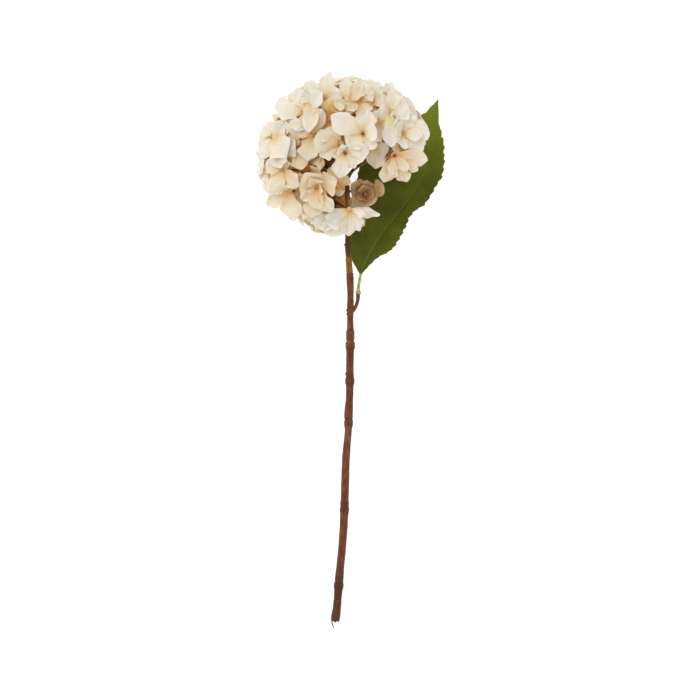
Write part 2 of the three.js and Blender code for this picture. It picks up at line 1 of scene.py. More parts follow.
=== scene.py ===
# %% [markdown]
# This is a cut hydrangea that lies on a pale table, seen from straight above. It has one long brown
# stem, one toothed leaf and a rounded head of cream florets, each with a few petals and a small eye.
# It looks like a made one: the petals and the leaf are cloth, and the stem is moulded in plastic.
#
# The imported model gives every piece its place. The script dresses each one in finer geometry on the
# same lines, so nothing is fitted afterwards. Lengths are in millimetres until a piece is finished.

# %% Open the frame
import math
import random

import bmesh
import bpy
from mathutils import Matrix, Vector, noise


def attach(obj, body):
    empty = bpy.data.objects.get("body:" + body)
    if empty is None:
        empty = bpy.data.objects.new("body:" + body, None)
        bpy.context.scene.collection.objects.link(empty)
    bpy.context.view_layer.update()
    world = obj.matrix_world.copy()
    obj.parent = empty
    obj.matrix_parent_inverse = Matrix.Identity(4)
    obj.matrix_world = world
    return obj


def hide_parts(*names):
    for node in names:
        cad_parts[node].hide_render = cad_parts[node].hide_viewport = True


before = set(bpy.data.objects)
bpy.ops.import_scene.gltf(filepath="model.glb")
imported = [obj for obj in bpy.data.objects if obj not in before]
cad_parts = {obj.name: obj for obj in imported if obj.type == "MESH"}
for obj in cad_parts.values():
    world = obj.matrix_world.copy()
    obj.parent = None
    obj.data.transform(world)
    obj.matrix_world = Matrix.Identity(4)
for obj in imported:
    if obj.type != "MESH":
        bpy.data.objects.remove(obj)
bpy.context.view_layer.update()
MM = 0.001
UP = Vector((0, 0, 1))
print("nodes:", sorted(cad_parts))

# %% [markdown]
# The camera comes first. The photograph looks straight down from far away, so that the stem and the
# head have nearly the same scale, and a long lens on a high camera does the same. Its focal length
# follows from what the picture shows: a pixel is 0.9 mm at the height of the florets that face it.

# %% Set the camera above the table
PHOTO_WIDTH = 700
MM_PER_PIXEL = 0.9
CAMERA_HEIGHT = 12000
SCALE_HEIGHT = 85
SENSOR = 36
FARTHEST_SEEN = 100


def put_in_scene(name, data):
    """A new object at the origin of the scene."""
    made = bpy.data.objects.new(name, data)
    bpy.context.scene.collection.objects.link(made)
    return made


def set_camera():
    """A long lens, straight down, with the top of the picture towards +Y."""
    camera = put_in_scene("camera", bpy.data.cameras.new("camera"))
    camera.location = (0, 0, CAMERA_HEIGHT * MM)
    camera.data.sensor_width = SENSOR
    camera.data.lens = SENSOR * (CAMERA_HEIGHT - SCALE_HEIGHT) / (PHOTO_WIDTH * MM_PER_PIXEL)
    camera.data.clip_end = FARTHEST_SEEN
    bpy.context.scene.camera = camera
    return camera.data.lens


print("lens:", round(set_camera(), 1), "mm")

# %% [markdown]
# The table is a wide pale sheet, which isn't part of the flower. A plain white one would turn grey
# under soft lamps, so it gives a little light of its own, as a light table does. Then it stays white
# round the flower, and the petals get some light from below.

# %% Lay the table
TABLE_RADIUS = 14
TABLE_DROP = 0.0002
TABLE_GREY = 0.4
TABLE_GLOW = 0.85


def start_material(name, **sockets):
    """A new material with plain values on its shader: Specular_IOR_Level=0.1 sets that socket."""
    material = bpy.data.materials.new(name)
    material.use_nodes = True
    shader = material.node_tree.nodes["Principled BSDF"]
    for socket, value in sockets.items():
        shader.inputs[socket.replace("_", " ")].default_value = value
    return material


def lay_table():
    """A round sheet just under the flower."""
    bm = bmesh.new()
    bmesh.ops.create_circle(bm, cap_ends=True, segments=96, radius=TABLE_RADIUS)
    bmesh.ops.translate(bm, vec=(0, 0, -TABLE_DROP), verts=bm.verts)
    mesh = bpy.data.meshes.new("table")
    bm.to_mesh(mesh)
    bm.free()
    mesh.materials.append(start_material(
        "table", Base_Color=(TABLE_GREY, TABLE_GREY, TABLE_GREY, 1), Roughness=0.9,
        Specular_IOR_Level=0.1, Emission_Color=(1, 1, 1, 1), Emission_Strength=TABLE_GLOW,
    ))
    table = put_in_scene("table", mesh)
    return table


print("the", lay_table().name, "is", 2 * TABLE_RADIUS, "m wide")

# %% [markdown]
# A photograph's big soft lamps could be area lights, but those fall off along a stem of half a metre.
# A sun lights it evenly, and a wide angle softens its shadows in the same way. The key lamp stands at
# the upper left, a weak one fills in from the right, and the sky is a warm white.

# %% Hang the lamps
KEY = {"direction": (-0.75, 0.75, 1.5), "strength": 1.1, "spread": 35}
FILL = {"direction": (1.0, -0.3, 0.9), "strength": 0.15, "spread": 60}
SKY = {"Color": (1, 0.95, 0.88, 1), "Strength": 0.69}


def hang_lamp(name, direction, strength, spread):
    """A sun that shines from the given direction. Its spread is in degrees."""
    light = bpy.data.lights.new(name, "SUN")
    light.energy = strength
    light.angle = math.radians(spread)
    lamp = put_in_scene(name, light)
    lamp.rotation_mode = "QUATERNION"
    lamp.rotation_quaternion = Vector(direction).to_track_quat("Z", "Y")


def light_sky():
    """The same soft light from all round."""
    world = bpy.data.worlds.new("world")
    bpy.context.scene.world = world
    world.use_nodes = True
    for socket, value in SKY.items():
        world.node_tree.nodes["Background"].inputs[socket].default_value = value


hang_lamp("key", **KEY)
hang_lamp("fill", **FILL)
light_sky()
bpy.context.scene.view_settings.view_transform = "Standard"

# %% [markdown]
# Every finish is a small network of nodes on one Principled shader. Joined link by link, each network
# would fill a page, so a few helpers keep them short. `node` adds a node and joins or sets each given
# socket, and the others name the kinds of node that are used most.

# %% Helpers for nodes


def colour(red, green, blue):
    """A picture's colour, 0 to 255, as the linear numbers that a shader works with."""
    def linear(value):
        """One of the three, by the rule that pictures are stored with."""
        value /= 255
        return value / 12.92 if value <= 0.04045 else ((value + 0.055) / 1.055) ** 2.4
    return (linear(red), linear(green), linear(blue), 1)


def node(tree, kind, sockets=(), **settings):
    """Adds a node, sets it up, and joins or sets each given socket."""
    made = tree.nodes.new(kind)
    for name, value in settings.items():
        setattr(made, name, value)
    for socket, value in dict(sockets).items():
        if isinstance(value, bpy.types.NodeSocket):
            tree.links.new(value, made.inputs[socket])
        else:
            made.inputs[socket].default_value = value
    return made


def math_node(tree, operation, *values):
    """The result of one sum on up to three numbers or sockets."""
    return node(tree, "ShaderNodeMath", dict(enumerate(values)), operation=operation).outputs[0]


def times(tree, first, second):
    """Two numbers or sockets multiplied."""
    return math_node(tree, "MULTIPLY", first, second)


def mix(tree, share, first, second):
    """Two colours mixed by a share."""
    made = node(tree, "ShaderNodeMix", {0: share, 6: first, 7: second}, data_type="RGBA")
    return made.outputs[2]


def ramp(tree, value, stops):
    """Colours along a value, as (place, (red, green, blue)) stops."""
    made = node(tree, "ShaderNodeValToRGB", {0: value})
    elements = made.color_ramp.elements
    while len(elements) < len(stops):
        elements.new(0.5)
    for element, (place, dye) in zip(elements, stops):
        element.position = place
        element.color = colour(*dye)
    return made.outputs[0]


print("a picture's grey of 188 is", round(colour(188, 188, 188)[0], 2), "to a shader")

# %% [markdown]
# A weave or bark could be a picture, but that blurs up close. Noise doesn't, because the shader works
# it out at every point. It reads Object coordinates: each piece sits at the origin with its place in
# its mesh, so they are the same as the frame's, in metres. Where a pattern follows the cloth, it reads
# a number that each vertex carries, such as how far along a petal it is.

# %% Helpers for patterns


def attribute(tree, name):
    """A number that the vertices of a piece carry."""
    return node(tree, "ShaderNodeAttribute", attribute_name=name).outputs["Fac"]


def place_on_object(tree):
    """Object coordinates, in metres."""
    return node(tree, "ShaderNodeTexCoord").outputs["Object"]


def grain(tree, vector, fineness, detail=3):
    """A smooth random value, mostly from 0.3 to 0.7, that changes along the vector."""
    made = node(tree, "ShaderNodeTexNoise", {"Vector": vector, "Scale": fineness, "Detail": detail})
    return made.outputs[0]


def stretch(tree, value, low, high):
    """A value between low and high spread over 0 to 1."""
    made = node(tree, "ShaderNodeMapRange", {0: value, 1: low, 2: high, 3: 0.0, 4: 1.0})
    return made.outputs[0]


def clouds(tree, vector, fineness, detail=3, low=0.35, high=0.65):
    """Random patches from 0 to 1. The nearer low is to high, the harder their edges."""
    return stretch(tree, grain(tree, vector, fineness, detail), low, high)


def to_shader(tree, socket, value):
    """Joins a value to a socket of the material's shader."""
    tree.links.new(value, tree.nodes["Principled BSDF"].inputs[socket])


def bump(tree, height, distance, strength=1.0):
    """Small relief from a height, as deep as a distance in metres where the height is 1."""
    made = node(tree, "ShaderNodeBump", {"Height": height, "Distance": distance, "Strength": strength})
    to_shader(tree, "Normal", made.outputs[0])


print("a fineness of", 1 / MM, "gives noise with about one patch to a millimetre")

# %% [markdown]
# Petal cloth is dyed: golden where it meets the eye, peach a little further out and ivory at the rim.
# Each petal vertex carries three numbers, made with its shape: `reach` runs from 0 at the root to 1 at
# the tip, `across` from -1 to 1 between its edges, and `dye_and_painted_light` says how golden the
# floret looks: 0 is pale, 1 is golden, and up to 2 it turns brown. Its gold is mostly painted light,
# the light that has passed through petals deep in the head, and on the undersides partly dye. Its brown
# is painted shade. The colour follows those three, so it never slides on the petal.

# %% Make the petal cloth
PALE_DYE = [
    (0.0, (230, 180, 114)), (0.12, (238, 208, 156)), (0.25, (241, 224, 191)), (0.42, (241, 233, 215)),
    (1.0, (240, 236, 228)),
]
# The gold paints the light that passes through petals deep in the head, and partly dyes the undersides. The
# brown paints the shade in the deepest gaps.
GOLD_DYE_AND_PAINTED_GLOW = [(0.0, (216, 128, 38)), (0.3, (232, 162, 68)), (0.6, (240, 200, 126)), (1.0, (241, 222, 178))]
BROWN_PAINTED_SHADE = [(0.0, (138, 80, 44)), (0.5, (172, 120, 80)), (0.85, (204, 170, 132)), (1.0, (226, 204, 174))]
GREENISH = colour(226, 224, 190)
GREEN_SHARE = 0.12
RIB_DYE = colour(214, 190, 150)
RIB_SHARE = 0.05
RIBS_ACROSS = 26
RIB_HEIGHT = 0.25
FOLD_HEIGHT = 4
PETAL_RELIEF = 0.00012


def petal_cloth():
    """Soft dyed cloth that lets some light through, with a weave, fine ribs, small folds and painted light
    and shade.
    """
    material = start_material(
        "petal_cloth", Roughness=0.72, Sheen_Weight=0.25, Sheen_Roughness=0.5, Subsurface_Weight=0.35,
        Subsurface_Scale=0.004, Subsurface_Radius=(1.0, 0.75, 0.5), Specular_IOR_Level=0.25,
    )
    tree = material.node_tree
    reach, across, dye_and_painted_light = (attribute(tree, name) for name in ("reach", "across", "dye_and_painted_light"))
    place = place_on_object(tree)
    # Gold up to 1 is painted light, and brown from 1 to 2 is painted shade.
    golden = math_node(tree, "MINIMUM", dye_and_painted_light, 1.0)
    colour_with_painted_light = mix(tree, golden, ramp(tree, reach, PALE_DYE), ramp(tree, reach, GOLD_DYE_AND_PAINTED_GLOW))
    colour_with_painted_light = mix(tree, stretch(tree, dye_and_painted_light, 1.0, 2.0), colour_with_painted_light, ramp(tree, reach, BROWN_PAINTED_SHADE))
    colour_with_painted_light = mix(tree, times(tree, clouds(tree, place, 60), GREEN_SHARE), colour_with_painted_light, GREENISH)
    ribs = math_node(tree, "SINE", times(tree, across, RIBS_ACROSS))
    rib_tops = stretch(tree, ribs, 0.55, 1.0)
    to_shader(tree, "Base Color", mix(tree, times(tree, rib_tops, RIB_SHARE), colour_with_painted_light, RIB_DYE))
    weave = grain(tree, place, 1800, 2)
    relief = math_node(tree, "MULTIPLY_ADD", ribs, RIB_HEIGHT, weave)
    relief = math_node(tree, "MULTIPLY_ADD", grain(tree, place, 170), FOLD_HEIGHT, relief)
    bump(tree, relief, PETAL_RELIEF, 0.6)
    return material


PETAL = petal_cloth()
print("finish:", PETAL.name)

# %% [markdown]
# The eye of each floret is a tiny moulded bud: brown in the three that are wide open, and pale in the
# others. The thin stems and the core inside the head are brown plastic, and that brown also paints the
# warm dark shade seen in the gaps between the petals. One plain colour would look dead on such small
# things, so two near ones are mixed in soft clouds. The twig, the leaf stalk and its collar use the same
# helper later.

# %% Make the eyes' and the inner stems' finish
MOULDED_RELIEF = 0.0001
RELIEF_FINER = 4


def moulded(name, dark, light, roughness, fineness):
    """Plain moulded plastic with soft uneven colour."""
    material = start_material(name, Roughness=roughness, Specular_IOR_Level=0.35)
    tree = material.node_tree
    place = place_on_object(tree)
    to_shader(tree, "Base Color", mix(tree, clouds(tree, place, fineness), colour(*dark), colour(*light)))
    bump(tree, grain(tree, place, RELIEF_FINER * fineness), MOULDED_RELIEF)
    return material


EYE = moulded("eye", (112, 62, 44), (158, 100, 74), 0.55, 900)
PALE_EYE = moulded("pale_eye", (214, 170, 116), (232, 202, 154), 0.6, 900)
# The inner stems' brown also paints the deep shade in the head's gaps.
INNER_STEM = moulded("inner_stem", (126, 76, 40), (160, 108, 62), 0.6, 300)
print("finishes:", EYE.name, PALE_EYE.name, INNER_STEM.name)

# %% [markdown]
# The stems and the leaf's midrib follow lines in space. A Blender curve draws such a line well, but a
# place halfway along it is hard to ask for. So `smooth_line` runs a soft curve through a few chosen
# points, and `along` gives the place and the direction at any share of its length. `step_between`
# reads a value from a table of places, such as how thick the bark is.

# %% Helpers for lines
LINE_STEPS = 24
TINY = 1e-9


def smooth_line(points):
    """A dense soft curve through the points, with the length run so far at each step."""
    points = [Vector(p) for p in points]
    ends = [2 * points[0] - points[1], *points, 2 * points[-1] - points[-2]]
    line = []
    for i in range(1, len(ends) - 2):
        before, a, b, after = ends[i - 1:i + 3]
        for step in range(LINE_STEPS):
            t = step / LINE_STEPS
            line.append(0.5 * (2 * a + (b - before) * t + (2 * before - 5 * a + 4 * b - after) * t ** 2
                               + (3 * a - before - 3 * b + after) * t ** 3))
    line.append(points[-1])
    run = [0.0]
    for a, b in zip(line, line[1:]):
        run.append(run[-1] + (b - a).length)
    return line, run


def along(curve, share):
    """The place and the direction at a share of a line's length."""
    line, run = curve
    goal = min(max(share, 0), 1) * run[-1]
    low, high = 0, len(run) - 2
    while low < high:
        middle = (low + high + 1) // 2
        if run[middle] <= goal:
            low = middle
        else:
            high = middle - 1
    part = (goal - run[low]) / max(run[low + 1] - run[low], TINY)
    back, ahead = line[max(low - 1, 0)], line[min(low + 2, len(line) - 1)]
    return line[low].lerp(line[low + 1], part), (ahead - back).normalized()


def lerp(a, b, share):
    """A value at a share of the way from a to b."""
    return a + (b - a) * share


def step_between(table, place):
    """The value at a place in a table of (place, value), straight between its rows."""
    for (a, first), (b, second) in zip(table, table[1:]):
        if place <= b:
            return lerp(first, second, min(max((place - a) / max(b - a, TINY), 0), 1))
    return table[-1][1]


arc = smooth_line([(0, 0, 0), (10, 5, 0), (20, 0, 0)])
print("a soft arc over 20 mm is", round(arc[1][-1], 1), "mm long")

# %% [markdown]
# A piece is shaped as a bmesh in millimetres, where its sizes are easy to read, and becomes an object
# in metres at the end. It is then parented to the flower's root, and the part of the imported model
# that it stands for is hidden. A cloth piece also gets a live Subdivision Surface, which rounds its few
# faces.

# %% Helper for finishing a piece


def make_piece(bm, name, materials, cad_node, levels=0):
    """Turns a bmesh in millimetres into a finished object in metres, in place of its CAD node."""
    bmesh.ops.scale(bm, vec=(MM, MM, MM), verts=bm.verts)
    mesh = bpy.data.meshes.new(name)
    bm.to_mesh(mesh)
    bm.free()
    for material in materials:
        mesh.materials.append(material)
    mesh.polygons.foreach_set("use_smooth", [True] * len(mesh.polygons))
    piece = put_in_scene(name, mesh)
    if levels:
        rounding = piece.modifiers.new("rounding", "SUBSURF")
        rounding.levels = rounding.render_levels = levels
    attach(piece, "root")
    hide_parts(cad_node)
    return piece


# %% [markdown]
# The leaf lies under the right half of the head, so the petals need to know where it is, and its shape
# comes before theirs. One could draw its outline as a ring of points, but then its middle line would
# be lost. A midrib, seen from above, and the reach of the blade to each side of it give both.

# %% Draw the leaf's outline
MIDRIB = smooth_line([
    (9.3, 69.3, 0), (13.5, 79.2, 0), (18, 88.2, 0), (26, 101.7, 0), (36, 115.2, 0), (48, 130, 0),
    (60, 147, 0), (69, 166, 0), (74.5, 184, 0), (78, 203, 0), (79.9, 225, 0),
])
LEFT_REACH = [
    (0, 1.2), (0.013, 4.2), (0.03, 9), (0.058, 14), (0.083, 17), (0.142, 24), (0.25, 36), (0.365, 48),
    (0.43, 53), (0.5, 53), (0.6, 47), (0.7, 36), (0.8, 27.5), (0.88, 20), (0.91, 15.7), (0.955, 7.3), (1, 0),
]
RIGHT_REACH = [
    (0, 1.2), (0.037, 3.8), (0.072, 6.1), (0.117, 9), (0.165, 14.5), (0.21, 16.7), (0.28, 15.7),
    (0.33, 13.9), (0.4, 10.8), (0.44, 11.6), (0.48, 15), (0.545, 15.2), (0.6, 15.5), (0.627, 17),
    (0.667, 15.7), (0.7, 14.4), (0.755, 11.6), (0.79, 10.2), (0.82, 7.4), (0.865, 4.2), (0.885, 1.8), (1, 0),
]


def leaf_reach(share, side):
    """How far the blade reaches from its midrib: to the left where side is below 0."""
    return step_between(LEFT_REACH if side < 0 else RIGHT_REACH, share)


broadest = leaf_reach(0.5, -1) + leaf_reach(0.5, 1)
print("leaf:", round(MIDRIB[1][-1]), "mm long and", round(broadest), "mm wide")

# %% [markdown]
# The leaf isn't flat: it droops from its stalk to the table, its sides fold up a little and its tip
# lifts. A cloth simulation would find such a form by itself, but it wouldn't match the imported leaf.
# Three short sums give the same droop, lift and fold as there.

# %% Bend the leaf
LEAF_THICKNESS = 0.9
LEAF_FOOT_HEIGHT = 27
LEAF_TIP_RISE = 8
DROOP_END = 0.5
RISE_START = 0.6
FULL_FOLD_FROM = 0.2
LEFT_FOLD = 0.03
RIGHT_FOLD = 0.17


def leaf_height(share, distance):
    """The height of the leaf's middle surface above the table."""
    fall = max(0, 1 - share / DROOP_END)
    rise = max(0, (share - RISE_START) / (1 - RISE_START))
    fold = (LEFT_FOLD if distance < 0 else RIGHT_FOLD) * abs(distance) * min(1, share / FULL_FOLD_FROM)
    return LEAF_THICKNESS / 2 + LEAF_FOOT_HEIGHT * fall ** 2 + LEAF_TIP_RISE * rise ** 2 + fold


def leaf_point(share, distance):
    """A point of the leaf, at a distance to the right of its midrib."""
    rib, way = along(MIDRIB, share)
    return Vector((rib.x + way.y * distance, rib.y - way.x * distance, leaf_height(share, distance)))


for part_name, share in (("foot", 0), ("middle", 0.5), ("tip", 1)):
    print("the leaf's", part_name, "is", round(leaf_height(share, 0), 1), "mm above the table")

# %% [markdown]
# The head rests on the table and on the leaf, and cloth petals that touch them lie flat. To simulate a
# hundred florets as cloth would take far too long. So each low point of a petal asks how high it has
# to stay at its place: over the leaf where that is below it, and over the table elsewhere.

# %% Keep the petals off the table and the leaf
PETAL_THICKNESS = 0.8
PETAL_OVER_LEAF = 2.4
LEAF_MARGIN = 12
LEAF_STEPS = 40
FARTHEST_AHEAD = 10
LEAF_TESTS = [(step / LEAF_STEPS, *along(MIDRIB, step / LEAF_STEPS)) for step in range(LEAF_STEPS + 1)]


def lowest(point):
    """How high a petal stays over a place, to clear the table and the leaf."""
    nearest = FARTHEST_AHEAD
    height = PETAL_THICKNESS / 2
    for share, rib, way in LEAF_TESTS:
        across = (point.x - rib.x) * way.y - (point.y - rib.y) * way.x
        ahead = abs((point.x - rib.x) * way.x + (point.y - rib.y) * way.y)
        if ahead < nearest and abs(across) < leaf_reach(share, across) + LEAF_MARGIN:
            nearest = ahead
            height = leaf_height(share, across) + PETAL_OVER_LEAF
    return height


print("a petal over the leaf's middle stays", round(lowest(leaf_point(0.5, 0)), 1), "mm high")

# %% [markdown]
# A petal widens from its root to its broadest place and then runs to a soft point. In the photograph
# some are squarer and some more pointed. Each could have numbers for that in its row, but the rows are
# long already. So the length of a petal decides it, and only two of the same length are alike.

# %% Cut a petal's outline
PETAL_ROOT_SHARE = 0.32
WIDEST_AT = 0.58
WIDEST_SPREAD = 0.1
POINT_POWER = 1.1
POINT_SPREAD = 0.9
VARIED_BY_LENGTH = 7.3


def petal_width(share, length):
    """Half the width of a petal, as a share of its greatest. Its outline varies with its length."""
    varied = 0.5 + 0.5 * math.sin(VARIED_BY_LENGTH * length)
    widest = WIDEST_AT + WIDEST_SPREAD * varied
    if share < widest:
        return PETAL_ROOT_SHARE + (1 - PETAL_ROOT_SHARE) * math.sin(math.pi / 2 * share / widest)
    return 1 - ((share - widest) / (1 - widest)) ** (POINT_POWER + POINT_SPREAD * varied)


print("width of a 20 mm petal:", [round(petal_width(share / 4, 20), 2) for share in range(5)])

# %% [markdown]
# A petal leaves its floret at its lift, bends by its curl and is dished across. A lattice could bend a
# flat one, but each would need its own. So `petal_surface` returns a function that puts any place of
# the flat petal, by its share of the length and its edge, where it belongs in the head. It also tests
# where a petal would reach before one is made.

# %% Bend a petal
PETAL_ROOT_RADIUS = 1.6
PETAL_CUP = 0.22
PETAL_TWIST = 0.07
LEAST_CURL = 0.1
CLEAR_ABOVE = LEAF_FOOT_HEIGHT + 12


def petal_surface(floret, petal, room):
    """A function that places a share of the length and an edge from -1 to 1 on the petal."""
    angle, length, width, lift, curl, dish = (*petal, PETAL_CUP)[:6]
    start, bend = math.radians(lift), math.radians(curl or LEAST_CURL)
    out = Vector((math.cos(math.radians(angle)), math.sin(math.radians(angle)), 0))
    side = Vector((-out.y, out.x, 0))
    run = (length - PETAL_ROOT_RADIUS) / bend

    def place(share, edge, ruffle=0.0):
        """The place in the head of one point of the flat petal, lifted by its ruffle."""
        slope = start + bend * share
        reach = PETAL_ROOT_RADIUS + run * (math.sin(slope) - math.sin(start))
        rise = run * (math.cos(start) - math.cos(slope))
        limit = reach * math.tan(math.radians(room[0] if edge < 0 else room[1]))
        half = min(width / 2 * petal_width(share, length), limit)
        cup = dish * half * edge * edge + PETAL_TWIST * half * edge + ruffle
        point = out * (reach - cup * math.sin(slope)) + side * (half * edge)
        point.z += rise + cup * math.cos(slope)
        point = floret["turn"] @ point + floret["centre"]
        if point.z < CLEAR_ABOVE:
            point.z = max(point.z, lowest(point))
        return point
    return place


level = {"centre": Vector((0, 0, 100)), "turn": UP.rotation_difference(UP)}
tip = petal_surface(level, (0, 20, 18, 10, -10), (45, 45))(1, 0)
print("a petal 20 mm long with a lift of 10 degrees rises", round(tip.z - 100, 1), "mm")

# %% [markdown]
# The florets that show from above are set one by one, as they lie in the photograph: a rule could
# spread them evenly, but then it would be another head. Each row gives the floret's place from the
# middle of the head, the sideways part of the way it faces, and its petals as (angle, length, width,
# lift, curl), some with a dish of their own. A few have a second, `inner` ring or a larger `disc`
# under the eye, `tone` paints golden light or brown shade on a shaded floret, and `eye` marks the
# brown eyes.
#
# The three open ones in front come first. One looks straight at them.

# %% Set the three open florets
HEAD_CENTRE = Vector((-4.5, 175.5, 59.5))


def floret_at(place, face, petals, **more):
    """A floret at a place from the middle of the head."""
    facing = Vector((*face, math.sqrt(1 - face[0] ** 2 - face[1] ** 2)))
    return {"centre": Vector(place) + HEAD_CENTRE, "facing": facing, "petals": petals, **more}


FLORETS = [
    floret_at((16, 18.5, 57), (0.12, 0.12), [
        (151, 34, 24, 7, -10, 0.08), (78, 23, 19, 12, -8, 0.1), (-52, 18, 18, 8, 0), (-140, 19, 17, 5, -5),
    ], inner=[(4, 14, 17, 30, -12)], eye=True),
    floret_at((0, 1.5, 58), (0, -0.1), [
        (-57, 17, 16, 8, -8), (-104, 24, 17, 8, -10), (4, 22, 18, 10, -8), (132, 11, 14, 50, 15),
    ], tone=0.05, eye=True),
    floret_at((44, -0.5, 47), (0.35, -0.3), [
        (-109, 27, 15, 8, -10), (-62, 30, 20, 10, -15), (-33, 28, 16, 14, -10), (-10, 33, 18, 10, -10),
    ], inner=[(-100, 19, 11, 20, -10), (-52, 19, 12, 25, -12)], tone=0.35, eye=True),
]
print("florets set:", len(FLORETS))

# %% [markdown]
# Round the open ones the middle of the head is a step lower. Only parts of its florets show, and the
# deeper ones of them are painted golden by their `tone`, for the light that reaches them through petals.

# %% Set the florets of the middle
FLORETS += [
    floret_at((-4, 10, 54), (-0.12, 0), [
        (140, 20, 18, 4, -8), (212, 23, 19, 0, -8), (262, 15, 18, 0, 0),
    ], inner=[(173, 26, 22, 4, -14, -0.35)], tone=0.3),
    floret_at((26, 8, 45), (0.2, -0.3), [
        (-84, 22, 19, 10, -10), (-20, 14, 16, 10, 0), (-150, 14, 16, 5, 0),
    ]),
    floret_at((-30, 17, 46), (-0.2, 0), [
        (68, 27, 14, 14, -14, -0.3), (-100, 24, 19, 5, -8), (150, 13, 13, 10, 0),
    ], tone=0.3),
    floret_at((-41, 6, 40), (-0.25, 0), [
        (-88, 20, 15, 5, -10), (-30, 15, 14, 10, -10), (100, 12, 14, 10, 0),
    ], tone=0.4),
    floret_at((-23, 3, 42), (0, 0), [(-88, 18, 8, 8, -5), (170, 12, 10, 5, 0)], tone=0.6),
    floret_at((-6, -28, 34), (0, 0), [
        (160, 10, 9, 20, 0), (-80, 10, 9, 20, 0), (117, 19, 13, 6, -4), (42, 13, 12, 16, -4),
    ], tone=0.6),
    floret_at((-39, 26, 34), (-0.1, 0.1), [
        (20, 19, 19, 8, -4), (110, 18, 18, 8, -4), (200, 18, 18, 8, -4), (290, 18, 18, 8, -4),
    ], tone=0.95),
    floret_at((-27, 36, 33), (0, 0.1), [
        (-20, 14, 15, 8, -4), (70, 14, 15, 8, -4), (250, 16, 16, 8, -4),
    ], tone=0.9),
]
print("florets set:", len(FLORETS))

# %% [markdown]
# On the right side the florets face outwards, and their petals hang over the leaf.

# %% Set the florets of the right side
FLORETS += [
    floret_at((52, 19, 40), (0.5, 0.2), [
        (8, 27, 22, 20, -20), (-40, 25, 19, 14, -12), (-92, 16, 18, 15, 0), (60, 21, 18, 20, -10),
        (115, 18, 18, 20, -10),
    ], inner=[(155, 14, 17, 30, -10), (-12, 18, 14, 34, -16)]),
    floret_at((40, 38, 43), (0.35, 0.35), [
        (-88, 33, 17, 0, -18), (60, 20, 20, 10, -10), (10, 20, 20, 12, -10),
    ]),
    floret_at((31, 29, 44), (0.2, 0.15), [
        (-35, 18, 16, 8, -8), (62, 20, 16, 10, -8), (150, 13, 14, 10, 0), (-110, 20, 16, 6, -8),
    ]),
    floret_at((52, 42, 26), (0.6, 0.45), [
        (50, 15, 15, 10, -8), (-20, 16, 16, 12, -10), (130, 15, 15, 10, 0),
    ]),
    floret_at((58, 27, 22), (0.75, 0.3), [
        (50, 16, 15, 10, -8), (-40, 18, 16, 12, -10), (130, 15, 15, 10, 0),
    ]),
]
print("florets set:", len(FLORETS))

# %% [markdown]
# Along the far side, from left to right, the petals make the head's upper outline. Most of them point
# away from the stem.

# %% Set the florets of the far side
FLORETS += [
    floret_at((-37, 38, 43), (-0.3, 0.3), [
        (100, 22, 14, 10, -8), (48, 26, 18, 14, -14), (172, 26, 21, 6, -8), (-108, 20, 13, 16, -14, -0.5),
    ], tone=0.08),
    floret_at((-29, 50, 42), (-0.15, 0.35), [
        (-95, 34, 17, 10, -14, 0.25), (60, 12, 13, 10, 0), (170, 12, 13, 10, 0),
    ], tone=0.3),
    floret_at((-10, 32, 42.5), (0, 0.1), [
        (104, 20, 19, 14, -8), (160, 16, 15, 10, 0), (52, 20, 19, 12, 0), (-115, 15, 17, 4, -5),
    ], tone=0.95),
    floret_at((-46, 40, 33), (-0.35, 0.45), [
        (78, 23, 20, 8, -8), (150, 20, 16, 8, -10), (240, 14, 14, 10, 0),
    ]),
    floret_at((-18, 48, 38), (-0.05, 0.25), [
        (80, 29, 17, 20, -15), (134, 26, 15, 14, -14), (30, 19, 16, 30, -10),
    ]),
    floret_at((3, 48, 43), (0.05, 0.35), [
        (100, 23, 14, 25, -15), (200, 14, 12, 10, -8), (50, 22, 16, 12, -12),
    ], tone=0.2),
    floret_at((13, 48, 40), (0.15, 0.35), [
        (85, 23, 16, 10, -15), (35, 16, 14, 30, 0), (-72, 17, 16, 8, -8), (-150, 16, 16, 8, -8),
    ], tone=0.3),
    floret_at((24, 46, 39), (0.25, 0.45), [
        (72, 24, 17, 12, -18), (120, 22, 12, 30, -10), (20, 16, 16, 20, -10),
    ]),
    floret_at((38, 50, 31), (0.4, 0.5), [
        (72, 18, 16, 18, -10), (20, 16, 15, 18, -12), (130, 14, 14, 15, 0),
    ]),
]
print("florets set:", len(FLORETS))

# %% [markdown]
# The left side is the nearest to the key lamp, and its petals are the palest.

# %% Set the florets of the left side
FLORETS += [
    floret_at((-66, 14, 24), (-0.75, 0.15), [
        (105, 18, 14, 10, -8), (175, 15, 16, 12, -8), (-120, 20, 16, 10, -10),
    ]),
    floret_at((-71, -4, 8), (-0.96, -0.05), [
        (85, 18, 15, 30, -10), (180, 16, 15, 20, -10), (-95, 18, 15, 30, -10), (0, 15, 15, 30, 0),
    ]),
    floret_at((-60, 7, 36), (-0.55, 0.05), [
        (178, 20, 19, 6, -10), (6, 20, 22, 12, -16, -0.35), (-80, 20, 18, 8, -8), (78, 26, 19, 6, -8),
    ]),
    floret_at((-64, 18, 34), (-0.45, 0.2), [
        (-56, 28, 23, 16, -20, 0.3), (36, 17, 15, 12, -8), (150, 14, 14, 8, -8),
    ]),
    floret_at((-43, 11, 43), (-0.2, 0), [(98, 25, 12, 12, -12, 0.45), (190, 11, 12, 5, 0)]),
    floret_at((-56, -14, 34), (-0.5, -0.15), [
        (150, 18, 17, 20, -15), (-115, 25, 20, 14, -12), (-38, 23, 17, 10, -10), (75, 13, 14, 12, 0),
    ], tone=0.2),
    floret_at((-68, -18, 17), (-0.8, -0.25), [
        (150, 14, 14, 8, 0), (-160, 14, 14, 8, 0), (-100, 22, 16, 10, -10),
    ]),
]
print("florets set:", len(FLORETS))
